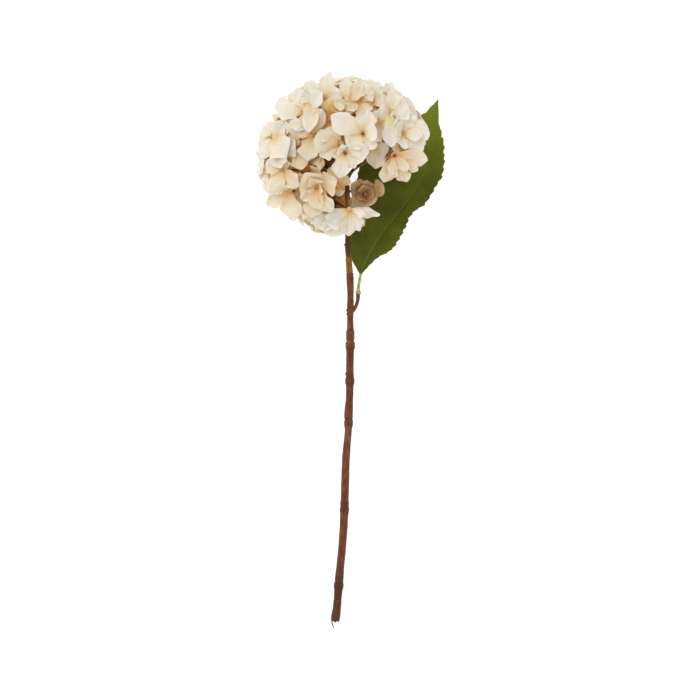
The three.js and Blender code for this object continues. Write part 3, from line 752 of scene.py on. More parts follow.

# %% [markdown]
# The near side, from left to right, faces the stem. Here the cups are deep, so petals stand up and show
# their golden insides, made more golden by a painted `tone`. The last one is the cupped floret low beside
# the stalk, painted brown by its `tone` as the deep shade it lies in.

# %% Set the florets of the near side
FLORETS += [
    floret_at((-50, -33, 33), (-0.35, -0.4), [
        (-147, 29, 16, 3, -10), (-84, 29, 22, 12, -15), (112, 17, 24, 52, -10, 0.35),
    ], tone=0.22),
    floret_at((-38, -32, 29), (-0.1, -0.2), [
        (10, 16, 17, 8, -4), (100, 17, 18, 8, -4), (190, 15, 16, 8, -4), (280, 17, 18, 8, -4),
    ], tone=0.45),
    floret_at((-26, -51, 30), (-0.15, -0.45), [
        (-62, 19, 18, 6, -10), (-118, 13, 15, 6, -10), (175, 14, 15, 8, 0), (10, 15, 16, 8, 0),
    ], tone=0.2),
    floret_at((-25, -29, 45), (-0.1, -0.25), [
        (122, 24, 24, 50, -22, 0.35), (28, 22, 24, 26, -15), (-58, 27, 13, 24, -16, 0.4),
        (-142, 19, 14, 8, -10), (-100, 31, 17, 0, -6),
    ], inner=[
        (-92, 21, 18, 22, -22, 0.35), (-8, 11, 10, 66, -10), (112, 16, 17, 56, -15, 0.35),
        (178, 12, 14, 40, -15),
    ], tone=0.42),
    floret_at((-8, -52, 36), (0, -0.5), [
        (-143, 25, 17, 5, -10), (-60, 22, 16, -5, -10),
    ], inner=[(-100, 25, 21, 4, -13)]),
    floret_at((4, -49.5, 40), (0.05, -0.45), [
        (-10, 29, 13, 5, -8), (-64, 23, 15, 12, -10), (-92, 27, 13, 4, -10), (-142, 25, 22, 4, -10),
    ], inner=[(14, 20, 10, 45, 0)]),
    # Its tone of 1.75 paints it brown, as deep shade.
    floret_at((18, -35, 3), (0, 0.1), [
        (144, 19, 18, 46, -12, 0.4), (80, 15, 18, 46, -12, 0.4), (24, 20, 16, 30, -20, 0.3),
        (-50, 14, 18, 34, -10, 0.4), (205, 15, 17, 34, -10, 0.3),
    ], inner=[
        (100, 11, 13, 55, -20, 0.4), (-20, 11, 13, 50, -20, 0.4), (220, 10, 12, 50, -20, 0.4),
    ], disc=7, tone=1.75),
]
print("florets set one by one:", len(FLORETS))

# %% [markdown]
# Some places of the head stay free of hidden petals. Beside the stalk one looks right through it, and
# its side towards the leaf's foot is bare. Petals that a rule places don't know that, so `left_free`
# tells them. Its places are boxes and a slanted edge, measured from the middle of the head.

# %% Keep some places free
VIEW_BESIDE_STALK = (3, 31, -29, -4)
STALK_SIDES = (-6.5, 11.5, -math.inf, -10)
STALK_MIDDLE_HEIGHT = 55
STALK_ROOM = 10.5
BARE_FROM = 4
BARE_EDGE_PLACE = (38, -28)
BARE_EDGE_SLOPE = 0.42
NEAR_FLORETS = (-math.inf, 22, -math.inf, -30)


def in_box(point, box):
    """Whether a point is over a box (left, right, near, far), seen from above."""
    left, right, near, far = box
    return left < point.x - HEAD_CENTRE.x < right and near < point.y - HEAD_CENTRE.y < far


def left_free(point):
    """Places that hidden petals leave free: the view beside the stalk, the bare side and the stalk."""
    x, y = point.x - HEAD_CENTRE.x, point.y - HEAD_CENTRE.y
    past_edge = y < BARE_EDGE_PLACE[1] + BARE_EDGE_SLOPE * (x - BARE_EDGE_PLACE[0])
    bare = x > BARE_FROM and past_edge and not in_box(point, NEAR_FLORETS)
    at_stalk = in_box(point, STALK_SIDES) and abs(point.z - STALK_MIDDLE_HEIGHT) < STALK_ROOM
    return in_box(point, VIEW_BESIDE_STALK) or bare or at_stalk


print("the middle of the head is left free:", left_free(HEAD_CENTRE))

# %% [markdown]
# The solid model spreads its hidden florets by a seeded rule. With Python's own random numbers the
# dressed ones would lie elsewhere, so this small generator gives the same numbers in the same order,
# and nearly all of the florets are the same ones.

# %% Draw the same numbers as the solid model
DRAW_FACTOR = 1664525
DRAW_STEP = 1013904223
DRAW_LIMIT = 2 ** 32
draw_state = 41


def draw(low, high):
    """The next number of the seeded generator."""
    global draw_state
    draw_state = (draw_state * DRAW_FACTOR + DRAW_STEP) % DRAW_LIMIT
    return low + (high - low) * draw_state / DRAW_LIMIT


print("the draws start from", draw_state)

# %% [markdown]
# The sides and the back of the head are filled by a rule: florets lie evenly over the rounded form, as
# seeds do on a sunflower, wherever none is placed yet. A scatter of copies would be quicker, but all
# florets would be alike. Here each draws its own turn and its own four petals.

# %% Helpers for an even spread
HEAD_RADII = Vector((80, 74, 65))
TURN_BETWEEN = math.pi * (3 - math.sqrt(5))


def even_way(i, count, first_turn=0):
    """One of many directions that lie evenly round a ball, from its top to its foot."""
    height = 1 - 2 * (i + 0.5) / count
    ring = math.sqrt(1 - height * height)
    turn = i * TURN_BETWEEN + first_turn
    return Vector((ring * math.cos(turn), ring * math.sin(turn), height))


def in_head(way, share):
    """A place in the head, at a share of the way from its middle to its outside."""
    return Vector(w * r * share for w, r in zip(way, HEAD_RADII)) + HEAD_CENTRE


def drawn_petals(chance, ranges):
    """Four petals in a cross, each with measures of its own from the ranges."""
    roll = chance(0, 90)
    petals = []
    for k in range(4):
        angle, *others = (chance(*limits) for limits in ranges.values())
        petals.append((roll + 90 * k + angle, *others))
    return petals


def has_room(centre, spacing):
    """Whether every floret of the outer layer is at least a spacing away."""
    return all((other["centre"] - centre).length >= spacing for other in FLORETS)


print("the turn from one floret to the next is", round(math.degrees(TURN_BETWEEN), 1), "degrees")

# %% [markdown]
# These are the outermost hidden florets. Those near the top are left out, because the ones that were
# set one by one cover it. Their petals are long and broad, so that they close the form.

# %% Spread florets over the sides and the back
SPREAD_COUNT = 46
SPREAD_SPACING = 28
SPREAD_SHARE = 0.84
SPREAD_TOP = 0.25
SPREAD_PETALS = {"angle": (-6, 6), "length": (24, 28), "width": (22, 25), "lift": (6, 20), "curl": (-16, -4)}


def spread_florets():
    """The florets of the sides and the back, which show only in part."""
    made = []
    for i in range(SPREAD_COUNT):
        way = even_way(i, SPREAD_COUNT)
        centre = in_head(way, SPREAD_SHARE)
        facing = Vector(w / r for w, r in zip(way, HEAD_RADII)).normalized()
        petals = drawn_petals(draw, SPREAD_PETALS)
        if way.z < SPREAD_TOP and has_room(centre, SPREAD_SPACING) and not left_free(centre):
            made.append({"centre": centre, "facing": facing, "petals": petals, "clear_of": left_free})
    return made


FLORETS += spread_florets()
print("florets in the outer layer:", len(FLORETS))

# %% [markdown]
# Between these florets one sees others that sit deeper and catch a golden light. The same even spread,
# nearer to the middle of the head, gives them in two layers: a middle one in cream with some painted
# gold, and an under one painted gold, for that light. Those in the photograph's darkest gaps are
# painted brown, as shade. They leave two more places free: the strip where the stalk is seen, and one
# gap that shows the brown core as painted shade.

# %% Helper for the deeper layers
LAYER_PETALS = {
    "angle": (-8, 8), "length": (20, 25), "width": (20, 24), "lift": (4, 24), "curl": (-16, 0),
    "dish": (-0.1, 0.4),
}
LAYER_TURN = 1
STALK_STRIP = (-2, 8, -49, -13)
# The core shows through this gap, its brown as painted shade.
CORE_GAP = (-17, -6, 6)
# Florets over these places are painted brown, as the shade in the darkest gaps.
DARK_PLACES = [(-18, -5, 9), (-50, -8, 6), (-4, -43, 8), (3.5, 40, 4)]
layer_draw = random.Random(23)


def in_circle(point, x, y, radius):
    """Whether a point is over a circle, seen from above."""
    return math.hypot(point.x - HEAD_CENTRE.x - x, point.y - HEAD_CENTRE.y - y) < radius


def left_free_below(point):
    """Places that deeper petals leave free: those of the others, the stalk's strip and the core's gap."""
    return left_free(point) or in_box(point, STALK_STRIP) or in_circle(point, *CORE_GAP)


def layer_florets(count, share, lowest_way, spacing, tones):
    """The florets of one deeper layer."""
    made = []
    for i in range(count):
        way = even_way(i, count, LAYER_TURN)
        centre = in_head(way, share)
        petals = drawn_petals(layer_draw.uniform, LAYER_PETALS)
        tone = layer_draw.uniform(*tones)
        # A floret in one of the darkest gaps is painted brown, as shade.
        if any(in_circle(centre, *dark) for dark in DARK_PLACES):
            tone += 1
        free = left_free(centre) or in_box(centre, STALK_STRIP)
        if way.z > lowest_way and has_room(centre, spacing) and not free:
            made.append({"centre": centre, "facing": way, "petals": petals, "tone": tone,
                         "clear_of": left_free_below})
    return made


print("brown places in the deeper layers:", len(DARK_PLACES))

# %% [markdown]
# The middle layer keeps a distance from the outer florets, so its petals don't push through theirs.
# The under layer lies deep enough without. Two florets painted brown, as the shade at the bottom of the
# deepest gaps, are set one by one where the photograph shows them.

# %% Spread the deeper layers
# The tones paint golden light on the deeper layers.
MIDDLE_LAYER = {"count": 84, "share": 0.76, "lowest_way": -0.1, "spacing": 15, "tones": (0.2, 0.8)}
UNDER_LAYER = {"count": 54, "share": 0.6, "lowest_way": -0.35, "spacing": 0, "tones": (0.8, 1.0)}
MIDDLE = layer_florets(**MIDDLE_LAYER)
UNDER = layer_florets(**UNDER_LAYER)
# Two florets painted brown, as shade at the bottom of the deepest gaps.
UNDER += [
    floret_at((-10, -42, -22), (0, 0), [
        (0, 18, 20, 5, 0), (90, 16, 20, 5, 0), (180, 20, 20, 5, 0), (270, 14, 18, 5, 0),
    ], tone=1.6),
    floret_at((-17, -13, -12), (0, 0), [
        (0, 14, 20, 5, 0), (90, 16, 20, 5, 0), (180, 20, 20, 5, 0), (270, 22, 24, 5, 0),
    ], tone=1.35),
]
print("florets of the middle layer:", len(MIDDLE), "and of the under layer:", len(UNDER))

# %% [markdown]
# Now the florets are built, and first their cloth gets two sides. `solidify` would give a sheet its
# thickness in one step. Extruding its faces and moving the copy down does the same, and it hands over
# the underside's vertices, which get a deeper gold: partly dye, and partly painted shade for the side
# that faces away from the light. The shell is then turned to face outwards.

# %% Give cloth its two sides
CLOTH_THICKNESS = 0.45
UNDERSIDE_DYE_AND_SHADE = 0.4
PALER_AT_TIP = 0.6


def thicken(bm, sheet, thickness):
    """Closes a sheet of cloth all round. Returns the vertices of its underside."""
    ways = {tuple(vertex.co): vertex.normal.copy() for vertex in sheet}
    faces = list({face for vertex in sheet for face in vertex.link_faces})
    under = bmesh.ops.extrude_face_region(bm, geom=faces)["geom"]
    under = [item for item in under if isinstance(item, bmesh.types.BMVert)]
    for vertex in under:
        vertex.co -= ways[tuple(vertex.co)] * thickness
    shell = {face for vertex in [*sheet, *under] for face in vertex.link_faces}
    bmesh.ops.reverse_faces(bm, faces=list(shell))
    return under


def finish_cloth(bm, layers, sheet, facing):
    """Turns a sheet's face to the given side, thickens it and gives its underside a deeper gold, partly dye
    and partly painted shade.
    """
    bm.normal_update()
    if sum((vertex.normal for vertex in sheet), Vector()).dot(facing) < 0:
        bmesh.ops.reverse_faces(bm, faces=list({face for vertex in sheet for face in vertex.link_faces}))
        bm.normal_update()
    # The underside's deeper gold is partly dye and partly painted shade.
    for vertex in thicken(bm, sheet, CLOTH_THICKNESS):
        vertex[layers["dye_and_painted_light"]] += UNDERSIDE_DYE_AND_SHADE * (1 - PALER_AT_TIP * vertex[layers["reach"]])


print("petal cloth is", CLOTH_THICKNESS, "mm thick, and the solid model's", PETAL_THICKNESS, "mm")

# %% [markdown]
# Such cloth is never quite smooth. Sculpting would give each petal its own creases, but not a hundred
# florets of them. Noise does: it waves the cloth, creases it and notches its rim, and a faint groove
# runs down the middle. At the tip, where both edges meet, the waves are made the same for the two, or
# the rim would tear there.

# %% Helpers for waves and notches
RUFFLE_HEIGHT = 5.5
RUFFLE_IN_MIDDLE = 0.35
RUFFLE_FINENESS = (1.7, 3.6)
CREASE_HEIGHT = 1.2
CREASE_FINENESS = (3.2, 6.5)
GROOVE_DEPTH = 0.4
GROOVE_WIDTH = 0.15
TIP_CLOSING = 12
NOTCH = 0.4
NOTCH_FINENESS = (1.5, 5)
JAG = 0.16
JAG_FINENESS = (1, 15)


def ruffle_at(share, edge, phase):
    """How far waves, creases and the middle groove lift the cloth."""
    closing = edge * (1 - share ** TIP_CLOSING)
    across, lengthwise = RUFFLE_FINENESS
    wave = noise.noise(Vector((across * closing + phase, lengthwise * share, phase)))
    across, lengthwise = CREASE_FINENESS
    crease = noise.noise(Vector((across * closing, lengthwise * share, phase)))
    groove = GROOVE_DEPTH * math.exp(-(edge / GROOVE_WIDTH) ** 2) * math.sin(math.pi * share)
    waved = RUFFLE_HEIGHT * wave * (RUFFLE_IN_MIDDLE + closing * closing)
    return (waved + CREASE_HEIGHT * crease) * share - groove


def ragged(share, edge, phase):
    """The edge with shallow notches, and with fine jags at the rim."""
    across, lengthwise = NOTCH_FINENESS
    notch = NOTCH * noise.noise(Vector((phase, lengthwise * share, across * edge))) * abs(edge)
    across, lengthwise = JAG_FINENESS
    jag = JAG * edge ** 4 * noise.noise(Vector((phase, lengthwise * share, across * edge)))
    return edge * (1 + notch + jag)


print("the groove in the middle of a petal is", -round(ruffle_at(0.5, 0, 0), 1), "mm deep")

# %% [markdown]
# A petal starts as a flat grid, and each vertex moves to its place on the petal's surface. The numbers
# that its dye follows are written on the vertices in the same loop, while they still lie flat. Where
# the grid runs together at the tip, its doubles are merged.

# %% Shape a petal
FINE_GRID = (12, 13)
WARMTH_SPREAD = (-0.06, 0.12)
MERGE_DISTANCE = 0.02
wave_draw = random.Random(7)


def petal_sheet(bm, layers, place, grid, dye_and_painted_light):
    """The sheet of one petal, dyed a little differently from the next. Returns its vertices."""
    dye_and_painted_light += wave_draw.uniform(*WARMTH_SPREAD)
    phase = wave_draw.uniform(0, 100)
    made = bmesh.ops.create_grid(bm, x_segments=grid[0], y_segments=grid[1], size=1)["verts"]
    for vertex in made:
        edge, share = vertex.co.x, (vertex.co.y + 1) / 2
        vertex[layers["reach"]] = share
        vertex[layers["across"]] = edge
        vertex[layers["dye_and_painted_light"]] = dye_and_painted_light
        vertex.co = place(share, ragged(share, edge, phase), ruffle_at(share, edge, phase))
    bmesh.ops.remove_doubles(bm, verts=made, dist=MERGE_DISTANCE)
    return [vertex for vertex in made if vertex.is_valid]


print("a fine petal has", FINE_GRID[0] * FINE_GRID[1], "faces before it gets its second side")

# %% [markdown]
# The petals of a floret are die-cut from one piece of cloth, so no petal can be wider than the angle
# between its neighbours. `rooms` measures those angles, and each petal is narrowed to fit them. Without
# it, wide petals would pass through one another near the eye.

# %% Lay a ring of petals
WIDEST_ROOM = 60
ROOM_KEPT = 1.1


def rooms(petals):
    """The angle that each petal of a ring may fill to its two sides."""
    order = sorted(range(len(petals)), key=lambda i: petals[i][0] % 360)
    found = {}
    for k, i in enumerate(order):
        behind, own, ahead = (petals[n][0] for n in (order[k - 1], i, order[(k + 1) % len(order)]))
        gaps = [(own - behind) % 360 or 360, (ahead - own) % 360 or 360]
        found[i] = [min(gap / 2, WIDEST_ROOM) * ROOM_KEPT for gap in gaps]
    return [found[i] for i in range(len(petals))]


def add_ring(bm, layers, floret, petals, grid, dye_and_painted_light):
    """The petals of one ring, each closed all round."""
    for petal, room in zip(petals, rooms(petals)):
        sheet = petal_sheet(bm, layers, petal_surface(floret, petal, room), grid, dye_and_painted_light)
        finish_cloth(bm, layers, sheet, floret["facing"])


cross = [(0,), (90,), (180,), (270,)]
print("each petal of a cross fills", round(sum(rooms(cross)[0])), "degrees, so they overlap a little")

# %% [markdown]
# Where the petals meet there is a small disc of the same cloth, sunk a little, and the eye is glued on
# it. A round eye would be a sphere, but the photograph shows square ones, turned between the petals. A
# beveled cube gives that in one step.

# %% Add a floret's disc and its eye
DISC_RADIUS = 3
DISC_DROP = 0.3
DISC_REACH = 0.12
EYE_SIZE = 3
PALE_EYE_SIZE = 1.9
EYE_HEIGHT = 2
EYE_RISE = 0.8
EYE_TURN = 45
EYE_BEVEL = 0.5


def on_floret(floret, rise):
    """The matrix that puts a shape above the middle of a floret, turned to face as it does."""
    turn = floret["turn"].to_matrix().to_4x4()
    return Matrix.Translation(floret["centre"] + rise * floret["facing"]) @ turn


def add_disc(bm, layers, floret, dye_and_painted_light):
    """The small disc of cloth where the petals meet, sunk a little in the middle."""
    radius = floret.get("disc", DISC_RADIUS)
    matrix = on_floret(floret, -DISC_DROP)
    made = bmesh.ops.create_circle(bm, cap_ends=True, segments=16, radius=radius, matrix=matrix)["verts"]
    for vertex in made:
        vertex[layers["reach"]] = DISC_REACH
        vertex[layers["dye_and_painted_light"]] = dye_and_painted_light
    finish_cloth(bm, layers, made, floret["facing"])


def add_eye(bm, floret):
    """The small square bud in the middle of a floret, in the second material."""
    size = EYE_SIZE if floret.get("eye") else PALE_EYE_SIZE
    matrix = on_floret(floret, EYE_RISE) @ Matrix.Rotation(math.radians(EYE_TURN), 4, "Z")
    matrix @= Matrix.Diagonal((size, size, EYE_HEIGHT, 1))
    bud = bmesh.ops.create_cube(bm, size=1, matrix=matrix)["verts"]
    for face in {face for vertex in bud for face in vertex.link_faces}:
        face.material_index = 1
    rims = list({edge for vertex in bud for edge in vertex.link_edges})
    bmesh.ops.bevel(
        bm, geom=rims, offset=EYE_BEVEL, segments=1, profile=0.5, affect="EDGES", material=-1,
    )


print("a brown eye is", EYE_SIZE, "mm wide, and a pale one", PALE_EYE_SIZE, "mm")

# %% [markdown]
# The deeper a floret sits, the more golden it looks, because the light there has passed through other
# petals. Tracing that light would need many bounces, so it is painted into the floret's colour instead.
# The petals of a floret that a rule placed are tested at a few points, and those that reach into a free
# place are left out.

# %% Helpers for a floret's tone and its free places
PAINTED_GLOW_FROM = 0.86
PAINTED_GLOW_STEP = 2.2
TESTED_SHARES = (0, 0.35, 0.7, 1)


def painted_depth_light(floret):
    """A floret's painted light: more golden the deeper it sits in the head, or its own painted tone where
    that is more.
    """
    place = floret["centre"] - HEAD_CENTRE
    depth = Vector(p / r for p, r in zip(place, HEAD_RADII)).length
    return max(floret.get("tone", 0), min(1, max(0, (PAINTED_GLOW_FROM - depth) * PAINTED_GLOW_STEP)))


def petals_kept(floret):
    """The petals that don't reach into a place that stays free."""
    if "clear_of" not in floret:
        return floret["petals"]
    kept = []
    for petal in floret["petals"]:
        place = petal_surface(floret, petal, (WIDEST_ROOM, WIDEST_ROOM))
        tested = [place(share, edge) for share in TESTED_SHARES for edge in (-1, 0, 1)]
        if not any(floret["clear_of"](point) for point in tested):
            kept.append(petal)
    return kept


tones = [painted_depth_light(floret) for floret in FLORETS]
print("tones in the outer layer run from", min(tones), "to", max(tones))

# %% [markdown]
# A floret is then all its petals, its disc and its eye in one piece. They could be objects of their own
# under a parent, but a floret is handled as one thing, and the bud only needs its own material. The
# inner ring sits a little higher than the outer one.

# %% Put a floret together
PLAIN_GRID = (6, 7)
INNER_RISE = 1.6


def build_floret(name, floret, grid, levels):
    """All the petals of one floret, its disc and its eye, as one piece."""
    bm = bmesh.new()
    layers = {key: bm.verts.layers.float.new(key) for key in ("reach", "across", "dye_and_painted_light")}
    dye_and_painted_light = painted_depth_light(floret)
    raised = {**floret, "centre": floret["centre"] + INNER_RISE * floret["facing"]}
    add_ring(bm, layers, floret, floret["kept"], grid, dye_and_painted_light)
    add_ring(bm, layers, raised, floret.get("inner", []), PLAIN_GRID, dye_and_painted_light)
    add_disc(bm, layers, floret, dye_and_painted_light)
    add_eye(bm, floret)
    bud = EYE if floret.get("eye") else PALE_EYE
    return make_piece(bm, name, [PETAL, bud], "florets", levels)


print("florets with an inner ring:", sum("inner" in floret for floret in FLORETS))

# %% [markdown]
# The outer florets get the finer grid, because they are seen close by. The middle ones are plainer but
# still rounded, and the under ones hardly show, so they stay as they are.

# %% Build the florets
FEWEST_PETALS = 2


def build_layer(name, florets, grid, levels):
    """Builds the florets of a layer, apart from those with hardly a petal left."""
    kept = []
    for floret in florets:
        floret["turn"] = UP.rotation_difference(floret["facing"])
        floret["kept"] = petals_kept(floret)
        if len(floret["kept"]) >= FEWEST_PETALS:
            kept.append(floret)
    for i, floret in enumerate(kept):
        build_floret(f"{name}_{i + 1:02d}", floret, grid, levels)
    return kept


BUILT = build_layer("floret", FLORETS, FINE_GRID, 1)
BUILT += build_layer("middle_floret", MIDDLE, PLAIN_GRID, 1)
BUILT += build_layer("under_floret", UNDER, PLAIN_GRID, 0)
print("florets built:", len(BUILT))

# %% [markdown]
# Stems, twigs and branches are all bent round bars. A curve with a bevel would make them too, but its
# radius can't change round it. So bmesh makes a cone and cuts it along its length, then every vertex
# moves to its place round the curve, at a radius that the bark decides. One helper serves the thick
# stem and the thinnest stalk.

# %% Helper for bent bars
LOWEST_BARK = 0.05


def bar(curve, radius_at, sides, rows):
    """A closed bar along a curve, and its two end faces. Its radius follows the place along and round."""
    bm = bmesh.new()
    bmesh.ops.create_cone(bm, cap_ends=True, segments=sides, radius1=1, radius2=1, depth=1)
    caps = sorted((face for face in bm.faces if len(face.verts) == sides),
                  key=lambda face: face.calc_center_median().z)
    lengthwise = [edge for edge in bm.edges if abs(edge.verts[0].co.z - edge.verts[1].co.z) > 0.5]
    bmesh.ops.subdivide_edges(bm, edges=lengthwise, cuts=rows - 1)
    for vertex in bm.verts:
        share = vertex.co.z + 0.5
        turn = math.atan2(vertex.co.y, vertex.co.x)
        point, way = along(curve, share)
        side = way.cross(UP).normalized()
        out = side * math.cos(turn) + side.cross(way) * math.sin(turn)
        vertex.co = point + out * radius_at(share, turn, point)
        vertex.co.z = max(vertex.co.z, LOWEST_BARK)
    if bm.calc_volume(signed=True) < 0:
        bmesh.ops.reverse_faces(bm, faces=bm.faces)
    bm.normal_update()
    return bm, caps


def relief(turn, length, waves):
    """Noise on a bar: the sum of waves of (height, fineness along, fineness round, seed)."""
    total = 0
    for height, lengthwise, round_it, seed in waves:
        place = Vector((round_it * math.cos(turn) + seed, round_it * math.sin(turn), length * lengthwise))
        total += height * noise.noise(place)
    return total


print("bark nowhere dips below", LOWEST_BARK, "mm")

# %% [markdown]
# Thin things need less: a stem of a floret or a torn fibre is a straight cone between two points.
# Pieces that plug together are hollow at the end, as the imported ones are, and an inset and an extruded
# face sink that socket. A piece made of several shapes is joined before it is finished.

# %% Helpers for thin bars, sockets and joined shapes


def straight_bar(bm, start, end, first, last, sides):
    """A closed straight bar between two points."""
    way = end - start
    turn = way.to_track_quat("Z", "Y").to_matrix().to_4x4()
    matrix = Matrix.Translation((start + end) / 2) @ turn
    bmesh.ops.create_cone(bm, cap_ends=True, segments=sides, radius1=first, radius2=last,
                          depth=way.length, matrix=matrix)


def hollow(bm, cap, wall, depth):
    """Sinks a round socket into the end of a bar."""
    way = cap.normal.copy()
    bmesh.ops.inset_region(bm, faces=[cap], thickness=wall, use_even_offset=True)
    bottom = bmesh.ops.extrude_discrete_faces(bm, faces=[cap])["faces"][0]
    bmesh.ops.translate(bm, vec=-depth * way, verts=bottom.verts)


def joined(parts):
    """Several bmeshes as one."""
    whole = bmesh.new()
    for part in parts:
        mesh = bpy.data.meshes.new("part")
        part.to_mesh(mesh)
        part.free()
        whole.from_mesh(mesh)
        bpy.data.meshes.remove(mesh)
    return whole


sample = bmesh.new()
straight_bar(sample, Vector(), Vector((0, 0, 10)), 1, 0.5, 5)
print("a thin bar with 5 sides has", len(sample.faces), "faces")
sample.free()

# %% [markdown]
# Inside the head every floret has its own thin stem. They leave from a small lumpy core, where the
# flower stalk ends, and from a lower branch beside the stalk. On the real one they fork many times, but
# only a glimpse of them shows, so one straight bar each is enough.

# %% Build the thin stems and the core
PEDICEL_RADIUS = 0.9
PEDICEL_FOOT_RADIUS = 1.3 * PEDICEL_RADIUS
PEDICEL_DROP = 0.4
BRANCH_TOP = Vector((-9, 10, 0))
BRANCH_FOOT = Vector((-9, -44, -6))
LOWER_BRANCH_RADII = (3.4, 2.4)
CORE_RADII = (20, 22, 18)
CORE_LUMPS = 0.05
CORE_LUMP_FINENESS = 3
BESIDE_VIEW = (0, math.inf, -30, math.inf)
BESIDE_VIEW_FOOT = 6
FOOT_TO_MIDDLE = 0.85


def pedicel_foot(centre):
    """Where a floret's own stem starts, on the core or on the lower branch, clear of the view."""
    y = (centre - HEAD_CENTRE).y
    wanted = max(y, BESIDE_VIEW_FOOT) if in_box(centre, BESIDE_VIEW) else FOOT_TO_MIDDLE * y
    y = min(max(wanted, BRANCH_FOOT.y), BRANCH_TOP.y)
    share = (BRANCH_TOP.y - y) / (BRANCH_TOP.y - BRANCH_FOOT.y)
    return BRANCH_TOP.lerp(BRANCH_FOOT, share) + HEAD_CENTRE


def build_floret_stems():
    """The core, the lower branch and a thin stem to each floret."""
    bm = bmesh.new()
    # The core's brown shows in the deepest gap as painted shade.
    place = Matrix.Translation(BRANCH_TOP + HEAD_CENTRE) @ Matrix.Diagonal((*CORE_RADII, 1))
    core = bmesh.ops.create_icosphere(bm, subdivisions=4, radius=1)["verts"]
    for vertex in core:
        lump = 1 + CORE_LUMPS * noise.noise(vertex.co * CORE_LUMP_FINENESS)
        vertex.co = place @ (vertex.co * lump)
    straight_bar(bm, BRANCH_TOP + HEAD_CENTRE, BRANCH_FOOT + HEAD_CENTRE, *LOWER_BRANCH_RADII, 16)
    for floret in BUILT:
        end = floret["centre"] - PEDICEL_DROP * floret["facing"]
        straight_bar(bm, pedicel_foot(floret["centre"]), end, PEDICEL_FOOT_RADIUS, PEDICEL_RADIUS, 8)
    return make_piece(bm, "floret_stems", [INNER_STEM], "florets")


print("thin stems:", build_floret_stems().name)

# %% [markdown]
# The leaf is printed cloth with a moulded midrib. The print could be a picture, but its veins and
# specks are sharper when they are worked out from the blade itself. Each vertex carries its `run` along
# the midrib and how far it is `away` from it, both in millimetres, and its `rim`, from -1 to 1. The
# tones go one over another: green clouds, a paler tip, the veins, and pale specks at the right rim. The
# paler tip is painted light, where the tip faces the lamp. The clouds, veins and specks are print.

# %% Print the leaf's colours and paint its lit tip
LEAF_DARK = colour(70, 82, 12)
LEAF_LIGHT = colour(104, 114, 28)
LEAF_TIP_PAINTED_LIGHT = colour(118, 134, 32)
TIP_SHARE = 0.75
TIP_FROM = 90
TIP_TO = 165
VEIN_DYE = colour(122, 130, 62)
VEIN_SHARE = 0.14
MIDRIB_DYE = colour(138, 152, 70)
MIDRIB_SHARE = 0.1
MIDRIB_SHARE_AT_FOOT = 0.42
FAINT_FROM = 110
STRONG_TO = 10
SPECK_DYE = colour(168, 178, 62)
SPECK_SHARE = 0.7


def leaf_print_and_painted_light(tree, place, run, rim, side_vein, midrib):
    """The printed colours: clouded green, on the veins and in specks at the rim, and a tip made paler as
    painted light.
    """
    base = mix(tree, clouds(tree, place, 38, 4, 0.3, 0.7), LEAF_DARK, LEAF_LIGHT)
    # The paler tip is painted light, where the tip faces the lamp.
    base = mix(tree, times(tree, stretch(tree, run, TIP_FROM, TIP_TO), TIP_SHARE), base, LEAF_TIP_PAINTED_LIGHT)
    base = mix(tree, times(tree, side_vein, VEIN_SHARE), base, VEIN_DYE)
    footward = stretch(tree, run, FAINT_FROM, STRONG_TO)
    strength = math_node(tree, "MULTIPLY_ADD", footward, MIDRIB_SHARE_AT_FOOT, MIDRIB_SHARE)
    base = mix(tree, times(tree, midrib, strength), base, MIDRIB_DYE)
    specks = times(tree, clouds(tree, place, 420, 2, 0.6, 0.68), stretch(tree, rim, 0.62, 0.95))
    return mix(tree, times(tree, specks, SPECK_SHARE), base, SPECK_DYE)


print("the paler tip starts", TIP_FROM, "mm along the leaf")

# %% [markdown]
# The side veins are stripes across the run that slant with the distance from the midrib, like the ribs
# of a feather. A ramp with three close stops can draw a fine line, but `line_at` does it with three
# sums wherever a value passes zero. The veins are raised a little, and the cloth has a weave and soft
# crinkles. A displacement would need millions of faces for those, and a bump needs none.

# %% Make the leaf's cloth
VEIN_SPACING = 13
VEIN_SLANT = 0.85
VEIN_WIDTH = 0.07
MIDRIB_WIDTH = 0.9
CRINKLE_HEIGHT = 5
WEAVE_HEIGHT = 0.25
LEAF_RELIEF = 0.0005


def line_at(tree, value, width):
    """1 where a value is near zero, fading to 0 at a width."""
    near = math_node(tree, "DIVIDE", math_node(tree, "ABSOLUTE", value), width)
    return math_node(tree, "SUBTRACT", 1.0, math_node(tree, "MINIMUM", near, 1.0))


def leaf_cloth():
    """Green printed cloth with raised veins, a weave and soft crinkles."""
    material = start_material("leaf_cloth", Roughness=0.6, Sheen_Weight=0.05, Specular_IOR_Level=0.15)
    tree = material.node_tree
    run, away, rim = (attribute(tree, name) for name in ("run", "away", "rim"))
    place = place_on_object(tree)
    slant = times(tree, math_node(tree, "ABSOLUTE", away), VEIN_SLANT)
    veins_passed = math_node(tree, "DIVIDE", math_node(tree, "SUBTRACT", run, slant), VEIN_SPACING)
    beside_vein = math_node(tree, "SUBTRACT", math_node(tree, "FRACT", veins_passed), 0.5)
    side_vein = line_at(tree, beside_vein, VEIN_WIDTH)
    midrib = line_at(tree, away, MIDRIB_WIDTH)
    to_shader(tree, "Base Color", leaf_print_and_painted_light(tree, place, run, rim, side_vein, midrib))
    height = math_node(tree, "MAXIMUM", times(tree, side_vein, 0.5), times(tree, midrib, 0.6))
    height = math_node(tree, "MULTIPLY_ADD", grain(tree, place, 1500, 2), WEAVE_HEIGHT, height)
    height = math_node(tree, "MULTIPLY_ADD", grain(tree, place, 85), CRINKLE_HEIGHT, height)
    bump(tree, height, LEAF_RELIEF, 0.7)
    return material


